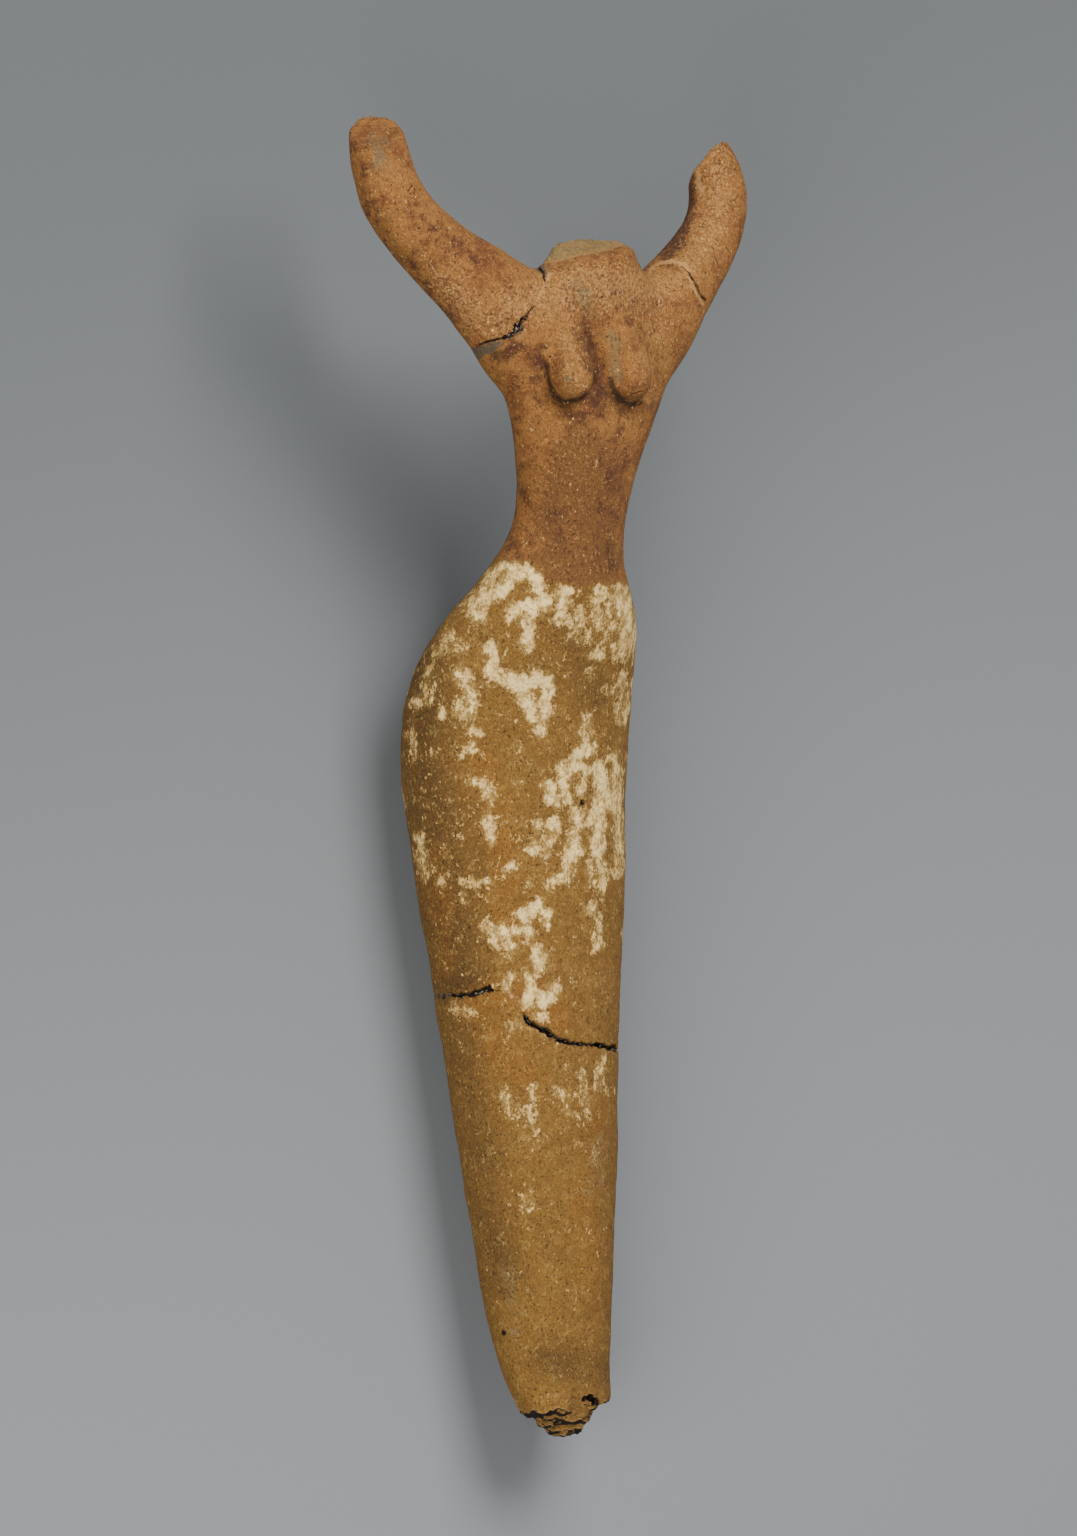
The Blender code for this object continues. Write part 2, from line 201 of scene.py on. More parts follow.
def deselect_all():
    """Leaves edit mode and drops every selection."""
    if bpy.context.object and bpy.context.object.mode != "OBJECT":
        bpy.ops.object.mode_set(mode="OBJECT")
    bpy.ops.object.select_all(action="DESELECT")


def take_up(piece):
    """Makes one object the only selected and active one."""
    deselect_all()
    piece.select_set(True)
    bpy.context.view_layer.objects.active = piece


def apply(piece, kind, **settings):
    """Adds a modifier with its settings and applies it."""
    take_up(piece)
    modifier = piece.modifiers.new(kind.lower(), kind)
    for name, value in settings.items():
        setattr(modifier, name, value)
    bpy.ops.object.modifier_apply(modifier=modifier.name)


take_up(node)
bpy.ops.object.duplicate()
skin = bpy.context.object
skin.name = "painted_clay_figure"
bpy.ops.object.parent_clear(type="CLEAR_KEEP_TRANSFORM")
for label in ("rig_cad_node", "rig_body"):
    del skin[label]
bpy.ops.object.mode_set(mode="EDIT")
bpy.ops.mesh.select_all(action="SELECT")
bpy.ops.mesh.remove_doubles(threshold=0.001 * MM)
bpy.ops.object.mode_set(mode="OBJECT")
apply(skin, "REMESH", mode="VOXEL", voxel_size=SKIN_VOXEL)
print("skin faces:", len(skin.data.polygons))

# %% Find the breaks on it
# Each break: its centre in body lengths, the way that it faces, and how far it reaches
BREAKS = {
    "neck": ((0.0, 0.0, 0.9005), (-0.15, -0.24, 0.96), 14 * MM),
    "right arm": ((-0.163, -0.014, 0.988), (-0.30, -0.44, 0.84), 15 * MM),
    "left arm": ((0.148, -0.020, 0.970), (-0.454, 0.578, 0.707), 17 * MM),
}
FOOT_BREAK_TOP = 13 * MM


def read_points(mesh, what="co"):
    """The places ("co") or the normals ("normal") of a mesh's corners as an array."""
    values = np.zeros(len(mesh.vertices) * 3, np.float32)
    source = mesh.vertices if what == "co" else mesh.vertex_normals
    source.foreach_get(what if what == "co" else "vector", values)
    return values.reshape(-1, 3).astype(float)


def stepped(value, low, high):
    """0 below low, 1 above high and a smooth step between them."""
    share = np.clip((value - low) / (high - low), 0, 1)
    return share * share * (3 - 2 * share)


def on_the_breaks(mesh):
    """How far each corner belongs to a broken surface, from 0 to 1."""
    places = standing(read_points(mesh))
    normals = read_points(mesh, "normal") @ to_lying
    found = stepped(-normals[:, 2], 0.30, 0.62) * stepped(-places[:, 2], -FOOT_BREAK_TOP, -9 * MM)
    for centre, facing, radius in BREAKS.values():
        out = np.array(facing) / np.linalg.norm(facing)
        apart = places - np.array(centre) * BODY_LENGTH
        level = np.abs(apart @ out)
        near = stepped(-np.linalg.norm(apart, axis=1), -radius, -radius + 2 * MM)
        flat = stepped(normals @ out, 0.55, 0.80)
        found = np.maximum(found, near * flat * stepped(-level, -4.5 * MM, -3.0 * MM))
    return found


broken = on_the_breaks(skin.data)
print("share of the skin on breaks:", round(float(broken.mean()), 3))

# %% Smooth the skin, but spare the sharp parts
SMOOTH_PASSES = 22
SPARED_BREAKS = 0.93
SPARED_BREASTS = 0.92
SPARED_TIPS = 0.75
BREAST_MIDDLE = np.array((-2.2, -16.0, 272.0)) * MM
BREAST_REACH = np.array((19.0, 12.0, 15.0)) * MM


def weigh(piece, name, weights):
    """Stores one weight for each corner as a vertex group."""
    group = piece.vertex_groups.get(name) or piece.vertex_groups.new(name=name)
    for index, weight in enumerate(weights):
        group.add([index], float(weight), "REPLACE")


rough_places = read_points(skin.data)
from_breasts = np.linalg.norm((standing(rough_places) - BREAST_MIDDLE) / BREAST_REACH, axis=1)
breasts = 1 - stepped(from_breasts, 0.8, 1.15)
tips = stepped(standing(rough_places)[:, 2], 322 * MM, 329 * MM)
kept_soft = (1 - SPARED_BREAKS * broken) * (1 - SPARED_BREASTS * breasts)
weigh(skin, "smooth_skin", kept_soft * (1 - SPARED_TIPS * tips))
apply(skin, "SMOOTH", factor=0.5, iterations=SMOOTH_PASSES, vertex_group="smooth_skin")
lost = (rough_places - read_points(skin.data)) * read_points(skin.data, "normal")
sunk = float(np.mean(lost.sum(1)))
print("smoothing sank the skin by", round(sunk / MM, 3), "mm")

# %% [markdown]
# ## Marks of the hand
#
# Clay that is rolled and smoothed by hand is never quite even: broad soft dents from fingers and
# finer waves from wiping. Sculpting each by hand would take hours, so two Displace modifiers with
# cloud textures make them, and a third one roughens the breaks. The textures are solid ones, which
# have no seam.

# %% Press the soft dents and roughen the breaks
def clouds(name, size, depth=1):
    """A solid cloud texture with blobs of a size."""
    texture = bpy.data.textures.new(name, "CLOUDS")
    texture.noise_scale = size
    texture.noise_depth = depth
    return texture


apply(skin, "DISPLACE", texture=clouds("finger_dents", 16 * MM), texture_coords="LOCAL",
      strength=0.9 * MM, mid_level=0.5, vertex_group="smooth_skin")
apply(skin, "DISPLACE", texture=clouds("wiping_waves", 4.5 * MM, 2), texture_coords="LOCAL",
      strength=0.30 * MM, mid_level=0.5, vertex_group="smooth_skin")
weigh(skin, "breaks", broken)
apply(skin, "DISPLACE", texture=clouds("torn_clay", 2.2 * MM, 3), texture_coords="LOCAL",
      strength=1.1 * MM, mid_level=0.5, vertex_group="breaks")
print("corners:", len(skin.data.vertices))

# %% [markdown]
# ## Sharper modelling, laid on in strokes
#
# The breasts are two small sausages of clay that were pressed on, so a furrow runs round each one,
# and its ridge stands out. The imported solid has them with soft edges. Sculpting by hand is the
# usual way to sharpen such a form. Here the same is written as strokes, each with a depth: a few
# places across and up the body, seen from one bearing, with a half width. Later the paint and the
# stains are laid on with the same helper.

# %% Helpers that lay strokes on the corners
def wobble(points, size):
    """A repeatable noise value, from about -1 to 1, at each point."""
    return np.array([noise.noise(Vector(point) / size) for point in points])


def distance_to_segment(spots, a, b):
    """Distances of 2D spots to a segment, and the share of the way along it."""
    start, along = np.array(a[:2], float), np.array(b[:2], float) - np.array(a[:2], float)
    length = max(float(along @ along), 1e-12)
    share = np.clip(((spots - start) @ along) / length, 0, 1)
    return np.linalg.norm(spots - start - share[:, None] * along, axis=1), share


class Layer:
    """One number at each corner of the mesh, laid on in strokes.

    fray shifts the strokes and swell widens them, by an amount in mm that differs from corner to
    corner. A stroke with a crisp edge keeps closer to its path than a soft one.
    """

    fray = 0.0
    swell = 0.0

    def __init__(self, piece):
        self.places = standing(read_points(piece.data)) / MM
        self.normals = read_points(piece.data, "normal") @ to_lying
        self.amount = np.zeros(len(self.places))

    def stroke(self, strength, path, soft=1.7, bearing=VIEW_BEARING, erase=False):
        """Adds, or erases, a stroke through (across, height, half width) places in mm."""
        towards, rightwards = sight(bearing)
        loose = min(1.0, soft / 2)
        spots = np.stack((self.places @ rightwards, self.places[:, 2]), axis=1)
        spots = spots + self.fray * loose
        facing = stepped(self.normals @ towards, -0.05, 0.12)
        cover = np.zeros(len(spots))
        for a, b in zip(path, path[1:] if len(path) > 1 else path):
            distance, share = distance_to_segment(spots, a, b)
            half = a[2] + (b[2] - a[2]) * share + self.swell * loose
            inner = np.maximum(half - soft, 0)
            outer = np.maximum(half + soft, 0.05)
            cover = np.maximum(cover, 1 - stepped(distance, inner, outer))
        cover *= facing * strength
        if erase:
            self.amount *= 1 - cover
        else:
            self.amount = np.maximum(self.amount, cover)

    def store(self, piece, name):
        """Writes the layer to the mesh as an attribute."""
        attribute = piece.data.attributes.new(name, "FLOAT", "POINT")
        attribute.data.foreach_set("value", self.amount.astype(np.float32))
        print(name, "mean", round(float(self.amount.mean()), 3))


# %% Sharpen the breasts
# Each stroke: its height in mm, how soft its edge is, then places across and up with half widths
MODELLING = [
    (0.90, 2, (-4, 286.5, 0.6), (-2.4, 281, 1.2), (-0.8, 272.5, 2)),
    (0.80, 2, (12.6, 287, 0.6), (14, 281, 1), (15.6, 272, 1.8)),
    (-1.20, 1.2, (-7.6, 281, 0.1), (-7.4, 272, 0.5), (-5.4, 267, 0.8), (-1, 264.8, 0.8),
     (3.6, 266, 0.6), (6.4, 270.6, 0.3)),
    (-0.90, 1.8, (3.2, 285, 0.2), (6.6, 279, 0.8), (8, 271, 0.8)),
    (-1.20, 1.2, (8.8, 278, 0.2), (9.4, 271, 0.6), (11.2, 266.6, 0.8), (14.6, 264.6, 0.8),
     (18.2, 265.4, 0.3)),
]
modelled = np.zeros(len(skin.data.vertices))
for rise, soft, *path in MODELLING:
    shape = Layer(skin)
    shape.stroke(1.0, path, soft=soft)
    modelled += rise * MM * shape.amount
points = read_points(skin.data) + read_points(skin.data, "normal") * modelled[:, None]
skin.data.vertices.foreach_set("co", points.astype(np.float32).ravel())
skin.data.update()
print("modelled from and to, in mm:", (modelled.min() / MM).round(2), (modelled.max() / MM).round(2))

# %% [markdown]
# ## The cracks and the pits
#
# The figure was glued from fragments. The joins at the knee and at the right shoulder gape, and the
# one on the left arm is a finer line. A crack is written as a line of places on the skin with the
# width of its opening. Near it the faces are too large for a gap of half a millimetre, so only
# those faces are subdivided, and then the corners inside the gap are pushed in. A Boolean cut would
# leave the edges too clean. The pits that straw and grit left in the clay are made the same way.

# %% Trace the cracks
# Each place: across and height in mm, bearing, and the gap's width in mm. V is the picture's
# bearing, and None stands for the middle of the body.
V = VIEW_BEARING
CRACKS = {
    "knee": [
        (-35.8, 113.9, V, 1.5), (-31.7, 114.0, V, 0.7), (-29.0, 113.7, V, 1.3),
        (-27.0, 114.0, V, 0.9), (-25.1, 114.1, V, 1.5), (-23.0, 115.0, V, 1.0),
        (-21.2, 115.4, V, 1.3), (-19.7, 115.0, V, 0.3), (-17.8, 114.8, V, 0.14),
        (-14.4, 112.8, V, 0.12), (-12.5, 110.0, V, 0.18), (-12.3, 108.5, V, 0.5),
        (-10.8, 106.6, V, 1.3), (-9.0, 105.8, V, 1.0), (-6.7, 104.5, V, 1.7),
        (-5.0, 103.4, V, 1.3), (-3.3, 102.2, V, 1.1), (0.1, 101.3, V, 0.7),
        (2.4, 101.2, V, 0.9), (4.4, 100.9, V, 0.6), (6.4, 100.8, V, 1.1),
        (8.2, 100.5, V, 1.5), (10.0, 100.2, V, 1.3), (11.8, 99.8, V, 2.2),
    ],
    "knee, back": [
        (None, 114.0, 214, 1.4), (None, 112.6, 236, 0.5), (None, 110.4, 262, 0.25),
        (None, 107.0, 290, 0.3), (None, 103.6, 318, 0.6), (None, 101.0, 345, 0.4),
        (None, 99.3, 375, 0.8), (None, 99.6, 396, 1.2),
    ],
    "right shoulder": [
        (-8.8, 301.2, V, 0.5), (-7.4, 299.6, V, 0.9), (-6.9, 297.4, V, 0.3),
        (-6.6, 294.5, V, 0.05), (-8.2, 291.8, V, 0.05), (-10.6, 289.8, V, 0.5),
        (-11.9, 288.2, V, 1.0), (-13.1, 286.3, V, 1.9), (-14.4, 284.3, V, 2.2),
        (-16.2, 282.9, V, 1.3), (-18.2, 282.2, V, 0.8), (-21.3, 281.6, V, 0.5),
        (-24.4, 280.6, V, 0.6),
    ],
    "left arm": [
        (21.6, 301.6, V, 0.5), (24.7, 302.3, V, 0.2), (27.8, 301.9, V, 0.1),
        (29.9, 300.4, V, 0.35), (30.7, 299.5, V, 0.8), (31.7, 297.8, V, 0.6),
        (32.6, 296.2, V, 0.8), (33.0, 294.6, V, 0.5), (34.5, 293.0, V, 0.7),
    ],
    "right breast": [(-5.6, 277.8, V, 0.3), (-4.8, 276.4, V, 0.35), (-3.8, 274.1, V, 0.2)],
    "left breast": [(15.1, 268.2, V, 0.3), (17.0, 268.8, V, 0.4), (18.9, 269.2, V, 0.2)],
    "arm stone": [
        (-41.0, 321.4, V, 0.35), (-40.2, 320.6, V, 0.3), (-40.5, 319.5, V, 0.35),
        (-41.4, 319.3, V, 0.3), (-41.9, 320.3, V, 0.4), (-41.0, 321.4, V, 0.3),
    ],
    "skirt slit": [(-9.8, 147.3, V, 0.35), (-8.2, 147.4, V, 0.3)],
}
CRACK_DEPTH = 1.9 * MM

# Each pit: across and height in mm, bearing, its radius and depth in mm
PITS = [
    (-55.4, 332.3, V, 0.5, 0.3), (8.0, 280.3, V, 0.35, 0.7), (-17.8, 26.8, V, 0.9, 0.5),
    (2.8, 163.3, V, 0.9, 0.8), (-35.3, 128.8, V, 0.35, 0.4), (-35.8, 183.2, V, 0.35, 0.4),
    (-33.8, 177.4, V, 0.3, 0.4), (-38.6, 171.4, V, 0.4, 0.4), (-32.7, 162.2, V, 0.35, 0.4),
    (-28.8, 162.2, V, 0.3, 0.4), (-21.0, 211.6, V, 0.6, 0.3), (-18.0, 38.1, V, 0.35, 0.4),
    (-10.6, 35.8, V, 0.4, 0.3), (0.2, 20.0, V, 0.4, 0.4), (-9.3, 14.2, V, 0.4, 0.4),
    (2.5, 42.0, V, 0.35, 0.4), (-6.2, 50.5, V, 0.4, 0.3), (3.4, 9.8, V, 0.8, 1.4),
    (4.8, 10.0, V, 1.1, 2.2), (6.2, 8.9, V, 1.2, 2.4), (7.2, 7.4, V, 0.9, 1.6),
]


def skin_tree(piece):
    """A search tree of the skin, which can be hit by rays."""
    mesh = piece.data
    corners = [vertex.co for vertex in mesh.vertices]
    return BVHTree.FromPolygons(corners, [face.vertices for face in mesh.polygons])


def middle_across(places, height, bearing):
    """The middle of the body as a level viewer at the bearing sees it at a height."""
    _, rightwards = sight(bearing)
    band = places[np.abs(places[:, 2] - height) < 1.5 * MM]
    across = band @ rightwards
    return (across.min() + across.max()) / 2


def touch(tree, places, across, height, bearing):
    """Where a level ray meets the skin: its place and the skin's normal, both lying."""
    towards, rightwards = sight(bearing)
    if across is None:
        across = middle_across(places, height, bearing)
    inside = rightwards * across + np.array((0, 0, height))
    direction = -Vector(to_lying @ towards)
    place, normal, _, _ = tree.ray_cast(Vector(lying(inside + towards)), direction)
    if place is None:
        place, normal, _, _ = tree.find_nearest(Vector(lying(inside)))
    return np.array(place), np.array(normal)


def traced(tree, places, path, step=0.6 * MM):
    """A crack's line on the skin, in short steps: places, normals and half widths."""
    line = []
    for a, b in zip(path, path[1:]):
        ends = [touch(tree, places, None if p[0] is None else p[0] * MM, p[1] * MM, p[2])
                for p in (a, b)]
        length = np.linalg.norm(ends[1][0] - ends[0][0])
        count = max(1, int(length / step))
        for k in range(count + 1):
            share = k / count
            across = None if a[0] is None else (a[0] + (b[0] - a[0]) * share) * MM
            height = (a[1] + (b[1] - a[1]) * share) * MM
            bearing = a[2] + (b[2] - a[2]) * share
            place, normal = touch(tree, places, across, height, bearing)
            line.append((place, normal, (a[3] + (b[3] - a[3]) * share) * MM / 2))
    return line


rays = skin_tree(skin)
places = standing(read_points(skin.data))
lines = {name: traced(rays, places, path) for name, path in CRACKS.items()}
pits = [(*touch(rays, places, a * MM, h * MM, b), r * MM, d * MM) for a, h, b, r, d in PITS]
print("crack steps:", {name: len(line) for name, line in lines.items()})

# %% Make the faces near them small
def subdivide_where(piece, wanted):
    """Cuts the faces that have a wanted corner in four."""
    take_up(piece)
    bpy.ops.object.mode_set(mode="EDIT")
    bpy.ops.mesh.select_mode(type="FACE")
    bpy.ops.mesh.select_all(action="DESELECT")
    cage = bmesh.from_edit_mesh(piece.data)
    cage.verts.ensure_lookup_table()
    for face in cage.faces:
        face.select_set(any(wanted[vertex.index] for vertex in face.verts))
    bmesh.update_edit_mesh(piece.data)
    bpy.ops.mesh.subdivide(number_cuts=1, smoothness=0.0, ngon=False)
    bpy.ops.object.mode_set(mode="OBJECT")


def nearest_step(points, line):
    """For each point, the distance to a traced line and the index of its nearest step."""
    steps = np.array([place for place, _, _ in line])
    best = np.full(len(points), 1e9)
    index = np.zeros(len(points), int)
    for k, step in enumerate(steps):
        distance = np.linalg.norm(points - step, axis=1)
        closer = distance < best
        best[closer] = distance[closer]
        index[closer] = k
    return best, index


def near_marks(piece, margin):
    """Which corners are in a crack or a pit, or within a margin of one."""
    points = read_points(piece.data)
    near = np.zeros(len(points), bool)
    for line in lines.values():
        distance, index = nearest_step(points, line)
        widths = np.array([half for _, _, half in line])
        near |= distance < widths[index] + margin
    for place, _, radius, _ in pits:
        near |= np.linalg.norm(points - place, axis=1) < radius + margin
    return near


for margin in (0.55 * MM, 0.20 * MM):
    subdivide_where(skin, near_marks(skin, margin))
foot_core = on_the_breaks(skin.data) * (standing(read_points(skin.data))[:, 2] < FOOT_BREAK_TOP)
subdivide_where(skin, foot_core > 0.5)
print("faces:", len(skin.data.polygons))

# %% Open the cracks and sink the pits
def carve(piece):
    """Pushes corners in. Returns how deep each sits in any mark, and how deep in a crack alone."""
    points = read_points(piece.data)
    ragged = wobble(points, 1.3 * MM)
    frayed = wobble(points, 0.45 * MM)
    depth = np.zeros(len(points))
    push = np.zeros_like(points)
    for line in lines.values():
        distance, index = nearest_step(points, line)
        half = np.array([width for _, _, width in line])[index]
        inwards = -np.array([normal for _, normal, _ in line])[index]
        edge = half * (1 + 0.8 * ragged + 0.6 * frayed) + 0.05 * MM
        bottom = np.minimum(CRACK_DEPTH, 0.35 * MM + half * 2.4)
        inside = stepped(edge - distance, -0.12 * MM, 0.22 * MM)
        sink = bottom * inside * (1 + 0.25 * ragged)
        deeper = sink > depth
        depth[deeper] = sink[deeper]
        push[deeper] = (inwards * sink[:, None])[deeper]
    in_crack = depth.copy()
    for place, normal, radius, deep in pits:
        distance = np.linalg.norm(points - place, axis=1)
        sink = deep * stepped(radius * (1 + 0.3 * ragged) - distance, -0.1 * MM, 0.4 * MM)
        deeper = sink > depth
        depth[deeper] = sink[deeper]
        push[deeper] = (-normal * sink[:, None])[deeper]
    points += push
    piece.data.vertices.foreach_set("co", points.astype(np.float32).ravel())
    piece.data.update()
    return depth, in_crack


crack_depth, glued_depth = carve(skin)
print("deepest in mm:", round(float(crack_depth.max() / MM), 2))

# %% [markdown]
# ## The torn core of the foot
#
# Under the skirt the clay broke off in layers. They lie across the body, so the corners of the core
# step in and out with their height, and a noise bends the layers. Cutting each slit would be more
# exact, but they are too small and too many to be worth it.

# %% Layer the core
LAYER_HEIGHT = 1.7 * MM


def layer_foot(piece):
    """Steps the core's corners in and out, and returns how dark each slit between layers is."""
    points = read_points(piece.data)
    places = standing(points)
    normals = read_points(piece.data, "normal")
    core = on_the_breaks(piece.data) * stepped(-places[:, 2], -FOOT_BREAK_TOP, -10 * MM)
    warped = places[:, 2] + 1.3 * MM * wobble(places * (1, 1, 0.5), 5 * MM)
    warped += 0.35 * MM * wobble(places, 1.4 * MM)
    ledge = np.abs((warped / LAYER_HEIGHT % 1) - 0.5) * 2
    slit = stepped(-ledge, -0.45, -0.05) * stepped(wobble(places, 3.0 * MM), -0.35, 0.25)
    lumps = 0.5 * MM * wobble(places, 1.8 * MM) + 0.3 * MM * wobble(places, 0.8 * MM)
    points += normals * (core * (lumps - slit * 0.7 * MM))[:, None]
    piece.data.vertices.foreach_set("co", points.astype(np.float32).ravel())
    piece.data.update()
    return core * slit * 0.6


foot_slits = layer_foot(skin)
print("corners in slits:", int((foot_slits > 0.3).sum()))

# %% [markdown]
# ## Keep it inside the part's box
#
# The skin may not outgrow the solid that it stands for, and nothing may reach below the floor. So
# the last move of the corners is a clamp to the box, which also keeps the small flat spot at the
# hips on which the figure rests. Scaling the skin down a little would do as well, but it would
# lift the figure off its flat spot.

# %% Clamp the skin
SHARP_EDGE = math.radians(48)

points = read_points(skin.data)
points = np.clip(points, np.array(cad_low), np.array(cad_high))
skin.data.vertices.foreach_set("co", points.astype(np.float32).ravel())
skin.data.update()
take_up(skin)
bpy.ops.object.shade_smooth_by_angle(angle=SHARP_EDGE)
print("triangles:", sum(len(face.vertices) - 2 for face in skin.data.polygons))

# %% [markdown]
# ## What is left of the paint
#
# The skirt was white. Most of the paint has flaked off and what is left follows no rule, so it is
# laid on the way a restorer would map it: as strokes, each a few places across and up the skirt
# with a half width, seen from one bearing. The strokes only say how much paint is likely to be
# there, as a number at each corner of the mesh. The ragged edge and the pinholes come later, in
# the material. A picture of the paint would be simpler, but it would fit only one view.

# %% Let the strokes fray
FRAY = 1.1
FRAY_SIZE = 2.4
SWELL = 2.0
SWELL_SIZE = 2.8

# The noise is read at places that lie far apart, so that the three don't look alike
corner_places = standing(read_points(skin.data)) / MM
sideways = wobble(corner_places, FRAY_SIZE)
lengthwise = wobble(corner_places + 50, FRAY_SIZE)
Layer.fray = FRAY * np.stack((sideways, lengthwise), axis=1)
Layer.swell = SWELL * wobble(corner_places - 90, SWELL_SIZE)
print("strokes fray by up to", round(float(np.abs(Layer.fray).max()), 1), "mm")

